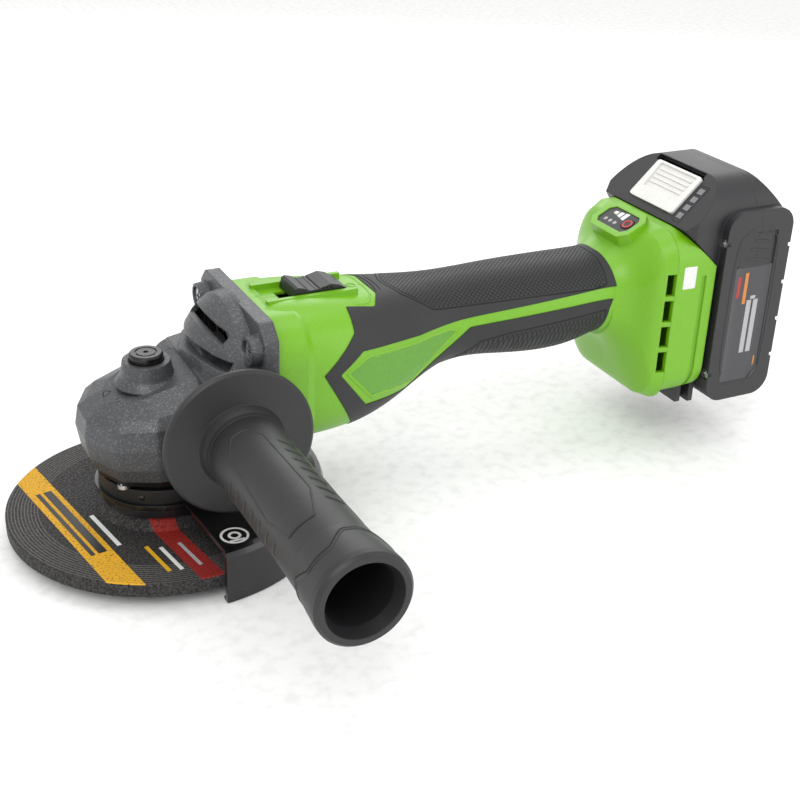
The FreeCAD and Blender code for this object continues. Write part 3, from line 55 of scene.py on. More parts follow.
# The tool is described in millimetres about its spindle: x runs back to the battery, -y along the side
# handle, and z = 0 is the underside of the wheel's rim.  at() turns such a place into the frame.
WHEEL_LOW, WHEEL_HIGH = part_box("grinding_wheel")
SPINDLE = Vector(((WHEEL_LOW.x + WHEEL_HIGH.x) / 2, (WHEEL_LOW.y + WHEEL_HIGH.y) / 2, WHEEL_LOW.z))
MOUNT_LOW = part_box("battery_mount")[0]
PACK_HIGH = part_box("battery_case_rear")[1]
CORE_LOW, CORE_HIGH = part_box("side_handle_core")
SEAM_X = (MOUNT_LOW.x - SPINDLE.x) / MM
PACK_BACK = (PACK_HIGH.x - SPINDLE.x) / MM
PACK_SIDE = (PACK_HIGH.y - SPINDLE.y) / MM
HANDLE_X = ((CORE_LOW.x + CORE_HIGH.x) / 2 - SPINDLE.x) / MM
HANDLE_Z = ((CORE_LOW.z + CORE_HIGH.z) / 2 - SPINDLE.z) / MM
GRIP_Z = 68.3
GRIP_BACK = SEAM_X - 25.5

# the near side is the one that the handle is on
SIDES = ((-1, "near"), (1, "far"))

# the wheel's print is turned a little from the tool's own axes: one way over its bands, one along them
PRINT_ACROSS = Vector((0.985, 0.17, 0))
PRINT_ALONG = Vector((0.17, -0.985, 0))

# lines that look for a surface start this far out, in millimetres, clear of the tool
CLEAR_SIDE = 90.0
CLEAR_TOP = 160.0
CLEAR_REAR = 60
CLEAR_GRIP = 60
CLEAR_HANDLE = 40


def at(x, y, z):
    return SPINDLE + Vector((x, y, z)) * MM


# ---------------------------------------------------------------- materials
def linear(code, factor=1.0):
    """An sRGB hex colour as linear RGBA, made darker or lighter by a factor."""
    parts = [int(code[i:i + 2], 16) / 255 for i in (1, 3, 5)]
    light = [c / 12.92 if c <= 0.04045 else ((c + 0.055) / 1.055) ** 2.4 for c in parts]
    return tuple(min(1.0, c * factor) for c in light) + (1.0,)


def add(tree, kind, inputs=None, **settings):
    """A node with its settings; an input is a plain value, a socket, or a node for its first output."""
    node = tree.nodes.new(kind)
    for field, value in settings.items():
        setattr(node, field, value)
    for key, value in (inputs or {}).items():
        if isinstance(value, bpy.types.Node):
            value = value.outputs[0]
        if isinstance(value, bpy.types.NodeSocket):
            tree.links.new(value, node.inputs[key])
        else:
            node.inputs[key].default_value = value
    return node


def blank(name):
    """A new material with its shader, and the piece's own coordinates."""
    material = bpy.data.materials.new(name)
    material.use_nodes = True
    tree = material.node_tree
    tree.nodes.clear()
    shader = add(tree, "ShaderNodeBsdfPrincipled")
    add(tree, "ShaderNodeOutputMaterial", {"Surface": shader})
    place = add(tree, "ShaderNodeTexCoord").outputs["Object"]
    return material, tree, shader, place


def surface(tree, shader, colour, roughness, height, depth_mm, edge_mm):
    """Join colour, roughness, and a bump of real depth over softened corners, to the shader."""
    edge = add(tree, "ShaderNodeBevel", {"Radius": edge_mm * MM}, samples=4)
    bump = add(tree, "ShaderNodeBump", {"Height": height, "Distance": depth_mm * MM, "Normal": edge})
    tree.links.new(colour, shader.inputs["Base Color"])
    tree.links.new(roughness.outputs[0], shader.inputs["Roughness"])
    tree.links.new(bump.outputs[0], shader.inputs["Normal"])


def moulded(name, code, roughness, grain_mm, depth_mm, ior=1.53, uneven=0.06, edge_mm=0.5, coat=0.0):
    """Moulded or painted surface: fine grain with painted shade in its pits, slightly uneven colour and
    gloss, softened corners.
    """
    material, tree, shader, place = blank(name)
    cloud_mm = 38.0
    grain = add(tree, "ShaderNodeTexNoise", {"Vector": place, "Scale": METRE_MM / grain_mm, "Detail": 3.0})
    cloud = add(tree, "ShaderNodeTexNoise", {"Vector": place, "Scale": METRE_MM / cloud_mm, "Detail": 2.0})
    darker = linear(code, 1 - uneven)
    lighter = linear(code, 1 + uneven)
    # painted shade: the low pits of the grain bump are mixed towards a darker colour
    pit_shade = linear(code, 0.45)
    tone = add(tree, "ShaderNodeMix", {0: cloud, 6: darker, 7: lighter}, data_type="RGBA")
    pit_shade_mask = add(tree, "ShaderNodeMapRange", {0: grain, 1: 0.3, 2: 0.55, 3: 0.18, 4: 0.0})
    colour = add(tree, "ShaderNodeMix", {0: pit_shade_mask, 6: tone.outputs[2], 7: pit_shade}, data_type="RGBA")
    gloss = add(tree, "ShaderNodeMapRange",
                {0: cloud, 1: 0.3, 2: 0.7, 3: roughness - 0.05, 4: roughness + 0.05})
    surface(tree, shader, colour.outputs[2], gloss, grain, depth_mm, edge_mm)
    shader.inputs["IOR"].default_value = ior
    shader.inputs["Coat Weight"].default_value = coat
    return material


def machined(name, code, roughness, ripple_mm, axis):
    """Turned, drawn or stacked metal: soft rings about an axis through the spindle.

    Real tool rings lie too close together to show on the whole tool, so they are drawn wider: one ring to
    the next is 2 pi times ripple_mm.
    """
    material, tree, shader, place = blank(name)
    wave_radians = 20
    scale = METRE_MM / wave_radians / ripple_mm
    shift = add(tree, "ShaderNodeMapping", {"Vector": place, "Location": -SPINDLE})
    rings = add(tree, "ShaderNodeTexWave",
                {"Vector": shift, "Scale": scale, "Distortion": 0.6, "Detail": 2.0},
                wave_type="RINGS", rings_direction=axis).outputs["Fac"]
    darker = linear(code, 0.86)
    lighter = linear(code, 1.1)
    tone = add(tree, "ShaderNodeMix", {0: rings, 6: darker, 7: lighter}, data_type="RGBA")
    gloss = add(tree, "ShaderNodeMapRange", {0: rings, 3: roughness - 0.06, 4: roughness + 0.08})
    surface(tree, shader, tone.outputs[2], gloss, rings, 0.01, 0.2)
    shader.inputs["Metallic"].default_value = 1.0
    return material


def diamond_knurl():
    # thermoplastic rubber with a moulded diamond knurl: small raised diamonds between crossing grooves
    # coloured darker as painted shade, drawn 2.2 mm apart, a little coarser than the real ones, so that they
    # show
    material, tree, shader, place = blank("tpe_diamond_knurl")
    knurl_mm = 2.2
    parts = add(tree, "ShaderNodeSeparateXYZ", {0: place})
    round_way = add(tree, "ShaderNodeMath", {0: parts.outputs["Z"], 1: 0.6}, operation="MULTIPLY")
    round_way = add(tree, "ShaderNodeMath", {0: round_way, 1: parts.outputs["Y"]}, operation="ADD")
    turns = 2 * math.pi / (knurl_mm * MM)
    waves = []
    for operation in ("ADD", "SUBTRACT"):
        slant = add(tree, "ShaderNodeMath", {0: parts.outputs["X"], 1: round_way}, operation=operation)
        turn = add(tree, "ShaderNodeMath", {0: slant, 1: turns}, operation="MULTIPLY")
        waves.append(add(tree, "ShaderNodeMath", {0: turn}, operation="SINE"))
    groove = add(tree, "ShaderNodeMath", {0: waves[0], 1: waves[1]}, operation="MAXIMUM")
    stud = add(tree, "ShaderNodeMapRange", {0: groove, 1: 0.55, 2: 1.0, 3: 1.0, 4: 0.0})
    # painted shade: the grooves between the studs are coloured darker than the studs
    groove_shade = linear("#171718")
    on_studs = linear("#29292B")
    tone = add(tree, "ShaderNodeMix", {0: stud, 6: groove_shade, 7: on_studs}, data_type="RGBA")
    gloss = add(tree, "ShaderNodeMapRange", {0: stud, 3: 0.75, 4: 0.52})
    surface(tree, shader, tone.outputs[2], gloss, stud, 0.35, 0.2)
    shader.inputs["IOR"].default_value = 1.5
    return material


def magnesium_speckled_paint():
    # metallic hammer paint over die-cast magnesium: dark grey with faint bright flakes, over the sandy skin
    # of the casting; the flakes are drawn 0.75 mm across, coarser than real ones, so that they show
    material, tree, shader, place = blank("magnesium_speckled_paint")
    flake_mm = 0.75
    cloud_mm = 26.0
    grit = add(tree, "ShaderNodeTexNoise", {"Vector": place, "Scale": METRE_MM / flake_mm, "Detail": 4.0})
    cloud = add(tree, "ShaderNodeTexNoise", {"Vector": place, "Scale": METRE_MM / cloud_mm, "Detail": 2.0})
    dark_paint = linear("#444547")
    pale_paint = linear("#515254")
    bright_flakes = linear("#97999B")
    base = add(tree, "ShaderNodeMix", {0: cloud, 6: dark_paint, 7: pale_paint}, data_type="RGBA")
    flakes = add(tree, "ShaderNodeMapRange", {0: grit, 1: 0.52, 2: 0.72, 3: 0.0, 4: 0.34})
    tone = add(tree, "ShaderNodeMix", {0: flakes, 6: base.outputs[2], 7: bright_flakes}, data_type="RGBA")
    gloss = add(tree, "ShaderNodeMapRange", {0: grit, 1: 0.3, 2: 0.7, 3: 0.52, 4: 0.36})
    surface(tree, shader, tone.outputs[2], gloss, grit, 0.07, 1.0)
    shader.inputs["Metallic"].default_value = 0.4
    return material


def bonded_abrasive():
    # resin-bonded grit pressed on glass mesh: dull black with paler grains and pressed rings near the rim,
    # and a yellow and a red band printed over the top face, worn where the grains stand up
    material, tree, shader, place = blank("bonded_abrasive_printed")
    grain_mm = 0.9
    ring_mm = 1.3
    rings_from = 49 * MM
    top_face = 5.7 * MM
    yellow_band = (-45.0, -33.5)
    red_band = (-14.5, -5.5)
    red_starts = -19 * MM
    shift = add(tree, "ShaderNodeMapping", {"Vector": place, "Location": -SPINDLE})
    parts = add(tree, "ShaderNodeSeparateXYZ", {0: shift})
    flat = add(tree, "ShaderNodeMapping", {"Vector": shift, "Scale": (1.0, 1.0, 0.0)})
    radius = add(tree, "ShaderNodeVectorMath", {0: flat}, operation="LENGTH").outputs["Value"]
    across = add(tree, "ShaderNodeVectorMath", {0: shift, 1: PRINT_ACROSS}, operation="DOT_PRODUCT")
    across = across.outputs["Value"]
    grit = add(tree, "ShaderNodeTexNoise", {"Vector": place, "Scale": METRE_MM / grain_mm, "Detail": 5.0})
    turn = add(tree, "ShaderNodeMath", {0: radius, 1: 2 * math.pi / (ring_mm * MM)}, operation="MULTIPLY")
    rings = add(tree, "ShaderNodeMath", {0: turn}, operation="SINE")
    on_top = add(tree, "ShaderNodeMath", {0: parts.outputs["Z"], 1: top_face}, operation="GREATER_THAN")
    outer = add(tree, "ShaderNodeMath", {0: radius, 1: rings_from}, operation="GREATER_THAN")
    ringed = add(tree, "ShaderNodeMapRange", {0: rings, 1: 0.0, 2: 0.9, 3: 0.0, 4: 0.5})
    ringed = add(tree, "ShaderNodeMath", {0: ringed, 1: outer}, operation="MULTIPLY")
    ringed = add(tree, "ShaderNodeMath", {0: ringed, 1: on_top}, operation="MULTIPLY")
    grains = add(tree, "ShaderNodeMapRange", {0: grit, 1: 0.4, 2: 0.75})
    resin = linear("#121111")
    grain_tips = linear("#454240")
    ring_crests = linear("#7A7672")
    colour = add(tree, "ShaderNodeMix", {0: grains, 6: resin, 7: grain_tips}, data_type="RGBA")
    colour = add(tree, "ShaderNodeMix", {0: ringed, 6: colour.outputs[2], 7: ring_crests}, data_type="RGBA")
    worn = add(tree, "ShaderNodeMapRange", {0: grit, 1: 0.27, 2: 0.45})
    worn = add(tree, "ShaderNodeMath", {0: worn, 1: on_top}, operation="MULTIPLY")
    past_hub = add(tree, "ShaderNodeMath", {0: parts.outputs["Y"], 1: red_starts}, operation="LESS_THAN")
    for (low, high), code, only in ((yellow_band, "#D9A214", None), (red_band, "#8E1509", past_hub)):
        middle = (low + high) / 2 * MM
        half = (high - low) / 2 * MM
        ink = linear(code)
        band = add(tree, "ShaderNodeMath", {0: across, 1: middle, 2: half}, operation="COMPARE")
        band = add(tree, "ShaderNodeMath", {0: band, 1: worn}, operation="MULTIPLY")
        if only:
            band = add(tree, "ShaderNodeMath", {0: band, 1: only}, operation="MULTIPLY")
        colour = add(tree, "ShaderNodeMix", {0: band, 6: colour.outputs[2], 7: ink}, data_type="RGBA")
    gloss = add(tree, "ShaderNodeMapRange", {0: grit, 1: 0.3, 2: 0.7, 3: 0.9, 4: 0.55})
    lines = add(tree, "ShaderNodeMath", {0: ringed, 1: grit}, operation="ADD")
    surface(tree, shader, colour.outputs[2], gloss, lines, 0.3, 0.4)
    return material


# ABS from a spark-eroded mould: lively lime, soft highlights, a grain only just seen
ABS_LIME = moulded("abs_lime_moulded", "#6EAC0C", 0.36, 0.6, 0.015, 1.54, uneven=0.025, edge_mm=0.7)
# the same ABS, polished in the mould for the sunk side field: glossier, and coloured darker and greyer as
# painted shade on the side of the housing
ABS_FIELD_SHADED = moulded("abs_lime_polished_field_painted_shade", "#5B9726", 0.25, 1.5, 0.006, 1.54, uneven=0.04, edge_mm=0.4)
# thermoplastic rubber moulded over the grip: matt charcoal that takes a wide, dull highlight
RUBBER = moulded("tpe_overmould_charcoal", "#242426", 0.58, 0.6, 0.02, 1.5)
# floor of a narrow moulded groove: black, because little light gets in
GROOVE = moulded("moulded_groove_shadow", "#08080A", 0.8, 0.6, 0.01, edge_mm=0.1)
# glass-filled nylon handle: matt black with a leathery mould texture
HANDLE = moulded("glass_nylon_handle", "#1C1C1E", 0.46, 0.9, 0.025, 1.53, edge_mm=0.6)
# glass-filled nylon trim: near black, even, half matt
TRIM = moulded("glass_nylon_trim", "#171719", 0.45, 0.6, 0.02, 1.53, edge_mm=0.3)
# ABS battery case with a fine pearly spark texture: charcoal with a soft bloom
PACK = moulded("abs_pack_charcoal", "#212023", 0.45, 0.7, 0.03, 1.54, edge_mm=0.8)
# printed polyester label film: flat dark grey, smoother than the case
LABEL = moulded("polyester_label_film", "#37363A", 0.36, 1.2, 0.004, 1.57, edge_mm=0.1)
# screen-printed inks: flat colour, half gloss
WHITE_INK = moulded("screen_ink_white", "#DEDEDB", 0.4, 1.0, 0.004, 1.5, uneven=0.03, edge_mm=0.1)
GREY_INK = moulded("screen_ink_silver", "#A8A8AA", 0.4, 1.0, 0.004, 1.5, uneven=0.03, edge_mm=0.1)
BLACK_INK = moulded("screen_ink_black", "#141312", 0.4, 1.0, 0.004, 1.5, uneven=0.03, edge_mm=0.1)
YELLOW_INK = moulded("screen_ink_yellow", "#DCA81C", 0.4, 1.0, 0.004, 1.5, uneven=0.03, edge_mm=0.1)
ORANGE_INK = moulded("screen_ink_orange", "#C97B33", 0.4, 1.0, 0.004, 1.5, uneven=0.03, edge_mm=0.1)
RED_INK = moulded("screen_ink_red", "#A82A2A", 0.4, 1.0, 0.004, 1.5, uneven=0.03, edge_mm=0.1)
# white ABS latch: clean, bright, half gloss
LATCH = moulded("abs_latch_white", "#E2E1DD", 0.35, 0.9, 0.006, 1.54, uneven=0.02, edge_mm=0.4)
# smoked polycarbonate windows of the charge lights: grey and glossy
LENS = moulded("polycarbonate_lens_smoked", "#77797C", 0.22, 2.0, 0.002, 1.58, uneven=0.02, edge_mm=0.2)
# powder coat on pressed steel: deep black, slight orange peel, clear reflections
GUARD = moulded("powder_coat_black", "#0A0A0B", 0.27, 2.4, 0.012, 1.5, edge_mm=0.4, coat=0.3)
# satin stove paint on turned aluminium: black with a soft broad highlight
COVER = moulded("satin_stove_black", "#0E0E0F", 0.4, 0.9, 0.008, 1.5, edge_mm=0.3)
# black oxide on turned steel: blue-black, half matt
OXIDE = moulded("black_oxide_turned", "#131316", 0.36, 0.9, 0.008, 1.5, edge_mm=0.3, coat=0.2)
# polished acetal: black and glossy
BUTTON_BLACK = moulded("acetal_button_black", "#0C0C0D", 0.28, 1.2, 0.004, 1.48, edge_mm=0.3)
# coloured acetal: dull red
BUTTON_RED = moulded("acetal_button_red", "#D02226", 0.4, 1.0, 0.006, 1.48, edge_mm=0.2)
# glass-epoxy board under green solder mask
BOARD = moulded("solder_mask_green", "#1E5B38", 0.35, 1.0, 0.004, 1.5, edge_mm=0.1)
# moulded epoxy bodies of switches and chips
COMPONENT = moulded("epoxy_moulded_black", "#1A1A1C", 0.4, 0.8, 0.01, 1.5, edge_mm=0.2)
# natural nylon, milky ivory
IVORY = moulded("nylon_natural_ivory", "#D6D2C4", 0.5, 0.8, 0.01, 1.53, edge_mm=0.3)
# shrunk vinyl sleeve of a cell: clear blue, half gloss
CELL = moulded("vinyl_sleeve_blue", "#3E8FC0", 0.35, 1.5, 0.004, 1.53, edge_mm=0.3)
# pressed rubber and felt seal: brown-black and dull
SEAL = moulded("nitrile_seal_dull", "#262422", 0.7, 0.7, 0.02, 1.5, edge_mm=0.2)
KNURL = diamond_knurl()
CASE = magnesium_speckled_paint()
WHEEL = bonded_abrasive()
# machined metals: bright steel, darker hardened steel, zinc plate, drawn wire and so on, softly ringed
STEEL = machined("turned_steel", "#A9ABAD", 0.32, 0.6, "Z")
GEAR_STEEL = machined("hardened_gear_steel", "#77797B", 0.38, 0.6, "Z")
ZINC = machined("zinc_plated_steel", "#D2D4D6", 0.22, 0.6, "Z")
SPRING = machined("drawn_spring_wire", "#8E9092", 0.3, 0.6, "X")
NICKEL = machined("rolled_nickel_strip", "#B9BABB", 0.3, 0.6, "X")
BRASS = machined("stamped_brass", "#C9A24A", 0.28, 0.6, "X")
COPPER = machined("wound_enamelled_copper", "#A75D33", 0.35, 0.8, "X")
LAMINATION = machined("stacked_lamination_steel", "#4B4C4E", 0.5, 0.6, "X")
MAGNET = machined("nickel_plated_magnet", "#76777A", 0.3, 0.8, "X")
BRONZE = machined("sintered_bronze", "#A1763A", 0.45, 0.6, "Z")
ALUMINIUM = machined("extruded_aluminium", "#B8BABC", 0.4, 0.8, "X")

NODE_FINISH = {
    "grinding_wheel": WHEEL, "inner_flange": OXIDE, "lock_nut": STEEL, "spindle": STEEL,
    "spindle_bearing_outer": GEAR_STEEL, "spindle_bearing_inner": GEAR_STEEL, "upper_bush": BRONZE,
    "spindle_seal": SEAL, "crown_gear": GEAR_STEEL, "pinion_gear": GEAR_STEEL, "gear_case": CASE,
    "bearing_cover": COVER, "cover_screws": ZINC, "case_screws": ZINC, "lock_button": BUTTON_BLACK,
    "lock_pin": STEEL, "lock_spring": SPRING, "guard_shell": GUARD, "guard_band": COVER,
    "clamp_screw": ZINC, "clamp_nut": ZINC, "motor_shaft": STEEL, "motor_bearing_outers": GEAR_STEEL,
    "motor_bearing_inners": GEAR_STEEL, "rotor_core": LAMINATION, "rotor_magnets": MAGNET,
    "stator_core": LAMINATION, "stator_windings": COPPER, "cooling_fan": TRIM, "fan_baffle": TRIM,
    "left_shell": ABS_LIME, "right_shell": ABS_LIME, "grip_rubber_left": RUBBER,
    "grip_rubber_right": RUBBER, "shell_screws": ZINC, "slide_button": TRIM, "slide_rod": IVORY,
    "switch_body": COMPONENT, "switch_spring": SPRING, "control_board": BOARD, "board_parts": COMPONENT,
    "heat_sink": ALUMINIUM, "control_panel": TRIM, "speed_button": BUTTON_BLACK, "battery_mount": ABS_LIME,
    "terminal_block": COMPONENT, "terminal_blades": BRASS, "side_handle_core": HANDLE,
    "side_handle_grip": HANDLE, "handle_stud": STEEL, "battery_case_front": PACK,
    "battery_case_rear": PACK, "battery_cells": CELL, "cell_holders": IVORY, "cell_strips": NICKEL,
    "battery_board": BOARD, "battery_screws": ZINC, "battery_latch": LATCH, "latch_spring": SPRING,
    "charge_bars": LENS,
}

# faces that meet at less than this are shaded as one smooth surface
SMOOTH_BELOW = math.radians(32)
for node_name, finish in NODE_FINISH.items():
    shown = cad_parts[node_name]
    shown.data.materials.clear()
    shown.data.materials.append(finish)
    shown.data.shade_smooth()
    shown.data.set_sharp_from_angle(angle=SMOOTH_BELOW)


# ---------------------------------------------------------------- making pieces
def piece(name, corners, faces, finish, body, smooth=True):
    """A new piece that rides on a body, with its finish."""
    mesh = bpy.data.meshes.new(name)
    mesh.from_pydata([tuple(c) for c in corners], [], faces)
    mesh.materials.append(finish)
    mesh.update()
    obj = bpy.data.objects.new(name, mesh)
    bpy.context.scene.collection.objects.link(obj)
    if smooth:
        mesh.shade_smooth()
        mesh.set_sharp_from_angle(angle=SMOOTH_BELOW)
    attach(obj, body)
    return obj


def sheet(name, rows, finish, body, closed=False, ends=False):
    """Skin of quads through rows of points; closed joins the last row to the first, ends caps both."""
    wide = len(rows[0])
    corners = [c for row in rows for c in row]
    faces = []
    count = len(rows)
    for i in range(count if closed else count - 1):
        for j in range(wide - 1):
            a = i * wide + j
            b = ((i + 1) % count) * wide + j
            faces.append((a, a + 1, b + 1, b))
    if ends and not closed:
        faces.append(tuple(range(wide)))
        faces.append(tuple(reversed(range((count - 1) * wide, count * wide))))
    return piece(name, corners, faces, finish, body)


def surface_of(*names):
    """Search tree over the faces of some CAD nodes."""
    corners = []
    faces = []
    for name in names:
        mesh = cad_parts[name].data
        start = len(corners)
        corners += [v.co.copy() for v in mesh.vertices]
        faces += [tuple(start + i for i in polygon.vertices) for polygon in mesh.polygons]
    return BVHTree.FromPolygons(corners, faces)


def land(tree, start, way):
    """Where a straight line meets the surface, and the surface's normal facing back along the line."""
    spot, normal, _, _ = tree.ray_cast(start, way.normalized())
    if spot is None:
        return None
    if normal.dot(way) > 0:
        normal = -normal
    return spot, normal


def eased(points, step, closed=False):
    """Broken line with its corners cut twice, and points about a step apart."""
    near = 0.18
    far = 0.82
    for _ in range(2):
        count = len(points)
        cut = [] if closed else [points[0]]
        for i in range(count if closed else count - 1):
            a = points[i]
            b = points[(i + 1) % count]
            cut.append(tuple(p * far + q * near for p, q in zip(a, b)))
            cut.append(tuple(p * near + q * far for p, q in zip(a, b)))
        points = cut if closed else cut + [points[-1]]
    spaced = []
    count = len(points)
    for i in range(count if closed else count - 1):
        a = points[i]
        b = points[(i + 1) % count]
        run = math.dist(a, b)
        pieces = max(1, round(run / step))
        spaced += [tuple(p + (q - p) * k / pieces for p, q in zip(a, b)) for k in range(pieces)]
    if not closed:
        spaced.append(points[-1])
    return spaced


def divided(points, parts, closed=False):
    """Broken line with each of its runs divided into equal parts."""
    ends = points[1:] + points[:1] if closed else points[1:]
    return [tuple(p + (q - p) * k / parts for p, q in zip(a, b)) for a, b in zip(points, ends)
            for k in range(parts)]


def bead(name, hits, width, height, finish, body, closed=False):
    """Rounded bead laid along points of a surface, thinner at its ends; sizes in millimetres."""
    sink = 0.15
    arc_steps = 6
    rows = []
    count = len(hits)
    for i, (spot, normal) in enumerate(hits):
        before = hits[i - 1][0] if (i or closed) else spot
        after = hits[(i + 1) % count][0] if (i < count - 1 or closed) else spot
        side = (after - before).cross(normal).normalized()
        taper = 1.0 if closed else min(1.0, 0.35 + min(i, count - 1 - i) * 0.4)
        row = []
        for k in range(arc_steps + 1):
            turn = math.pi * k / arc_steps
            row.append(spot + side * (math.cos(turn) * width / 2 * taper * MM)
                       + normal * ((math.sin(turn) * height * taper - sink) * MM))
        rows.append(row)
    return sheet(name, rows, finish, body, closed, ends=True)


def pad(name, hits, lift, finish, body, sink=0.2):
    """Thin pad that stands a lift over a grid of surface points, its edges sunk in; sizes in millimetres."""
    rows = []
    last_i = len(hits) - 1
    last_j = len(hits[0]) - 1
    for i, line in enumerate(hits):
        row = []
        for j, (spot, normal) in enumerate(line):
            edge = i in (0, last_i) or j in (0, last_j)
            row.append(spot + normal * ((-sink if edge else lift) * MM))
        rows.append(row)
    return sheet(name, rows, finish, body)


def grid_hits(tree, rays):
    """Surface points for a grid of (start, way) lines; a line that misses repeats its neighbour's point."""
    hits = []
    for line in rays:
        found = []
        for start, way in line:
            hit = land(tree, start, way)
            found.append(hit or (found[-1] if found else (start, -way.normalized())))
        hits.append(found)
    return hits


def from_side(points, side=-1):
    """Lines across the tool through (x, z) places, from the side that the handle is on when side is -1."""
    return [(at(x, side * CLEAR_SIDE, z), Vector((0, -side, 0))) for x, z in points]


def from_above(points):
    """Lines straight down through (x, y) places."""
    return [(at(x, y, CLEAR_TOP), Vector((0, 0, -1))) for x, y in points]


def from_rear(y, z):
    """Line forward through a (y, z) place, from behind the battery."""
    return at(PACK_BACK + CLEAR_REAR, y, z), Vector((-1, 0, 0))


def landed(tree, lines):
    """Surface points where the lines meet the surface; those that miss are left out."""
    return [hit for hit in (land(tree, start, way) for start, way in lines) if hit]


def dome(name, centre, normal, radius, height, finish, body):
    """Shallow round head with a short skirt sunk below it."""
    rings = 5
    sides = 28
    skirt = 0.3
    tip = 0.001
    normal = normal.normalized()
    side = normal.orthogonal().normalized()
    other = normal.cross(side)
    rows = []
    for i in range(rings + 1):
        turn = math.pi / 2 * i / rings
        r = radius * math.cos(turn) + tip
        row = []
        for k in range(sides + 1):
            a = 2 * math.pi * k / sides
            row.append(centre + side * (math.cos(a) * r * MM) + other * (math.sin(a) * r * MM)
                       + normal * (height * math.sin(turn) * MM))
        rows.append(row)
    rows.insert(0, [p - normal * (skirt * MM) for p in rows[0]])
    return sheet(name, rows, finish, body)


def flat_ring(name, centre, normal, outer, inner, height, finish, body):
    """Flat ring with broken edges, standing a little proud of a face; outer and inner are its radii."""
    sides = 48
    sink = 0.1
    break_wide = 0.12
    shoulder = height * 0.7
    normal = normal.normalized()
    side = normal.orthogonal().normalized()
    other = normal.cross(side)
    profile = [(outer, -sink), (outer, shoulder), (outer - break_wide, height),
               (inner + break_wide, height), (inner, shoulder), (inner, -sink)]
    rows = []
    for k in range(sides):
        a = 2 * math.pi * k / sides
        out = side * math.cos(a) + other * math.sin(a)
        rows.append([centre + out * (r * MM) + normal * (h * MM) for r, h in profile])
    return sheet(name, rows, finish, body, closed=True)


def plate(name, centre, along, across, corners, height, finish, body):
    """Thin flat plate: corners are (along, across) places in millimetres about its centre."""
    sink = 0.1
    normal = along.cross(across).normalized()
    low = [centre + along * (u * MM) + across * (v * MM) - normal * (sink * MM) for u, v in corners]
    high = [p + normal * ((height + sink) * MM) for p in low]
    count = len(corners)
    faces = [tuple(range(count, 2 * count)), tuple(reversed(range(count)))]
    faces += [(i, (i + 1) % count, count + (i + 1) % count, count + i) for i in range(count)]
    return piece(name, low + high, faces, finish, body, smooth=False)


def box_of(u, v, half_u, half_v):
    """Corners of a rectangle about (u, v)."""
    return [(u - half_u, v - half_v), (u + half_u, v - half_v),
            (u + half_u, v + half_v), (u - half_u, v + half_v)]


# how far the edges of labels and polished fields are sunk in, in millimetres
FILM_SINK = 0.02

# ---------------------------------------------------------------- grip rubber
rubber = surface_of("grip_rubber_left", "grip_rubber_right")
shell = surface_of("left_shell", "right_shell")
FIELD_MARGIN = 0.8
FIELD_SINK = 0.25
FIELD_GROOVE_WIDE = 0.8
FIELD_GROOVE_HIGH = 0.28


def round_grip(x, degrees):
    """Line towards the grip's middle from a direction counted from straight up, towards the handle side."""
    turn = math.radians(degrees)
    way = Vector((0, math.sin(turn), -math.cos(turn)))
    return at(x, 0, GRIP_Z) - way * (CLEAR_GRIP * MM), way


def panel_front(degrees):
    """Where the knurled field starts: bowed over the top, then slanting back down the side."""
    shoulder = 35
    down = abs(degrees)
    bow = 3.5 * min(1.0, down / shoulder) ** 2
    slant = 12.8 * max(0.0, down - shoulder) / 24
    return 97.5 + bow + slant


def panel_reach(x):
    """How far down the side the knurled field goes, in degrees from straight up."""
    front = 114
    return 58.5 + 7.0 * (x - front) / (GRIP_BACK - front)


def knurled_panel():
    """Knurled field over the top of the grip, with a dark groove round it."""
    long_steps = 140
    half_steps = 30
    front_reach = 59
    rays = []
    for i in range(long_steps + 1):
        line = []
        for j in range(2 * half_steps + 1):
            share = j / half_steps - 1
            front = panel_front(front_reach * share) + FIELD_MARGIN
            x = front + (GRIP_BACK - FIELD_MARGIN - front) * i / long_steps
            line.append(round_grip(x, (panel_reach(x) - 1.0) * share))
        rays.append(line)
    pad("grip_knurled_field", grid_hits(rubber, rays), 0.2, KNURL, "housing", sink=FIELD_SINK)
    front_edge = [(panel_front(d), d) for d in range(-front_reach, front_reach + 1, 3)]
    side_edge = [(x, panel_reach(x)) for x in range(117, int(GRIP_BACK) - 2, 4)]
    back_edge = [(GRIP_BACK, d) for d in range(62, -63, -4)]
    other_edge = [(x, -d) for x, d in reversed(side_edge)]
    outline = eased(front_edge + side_edge + back_edge + other_edge, 1.2, closed=True)
    hits = landed(rubber, [round_grip(x, d) for x, d in outline])
    bead("grip_field_groove", hits, FIELD_GROOVE_WIDE, FIELD_GROOVE_HIGH, GROOVE, "housing", closed=True)


def thumb_grooves():
    """Three curved grooves over the grip, following the tip of the tongue."""
    spacing = 2.0
    for k in range(3):
        x = 90.4 + spacing * k
        lines = [round_grip(x - 1.4 * (d / 30) ** 2, d) for d in range(-34 + 3 * k, 35 - 3 * k, 3)]
        bead(f"thumb_groove_{k + 1}", landed(rubber, lines), 0.8, 0.32, GROOVE, "housing")


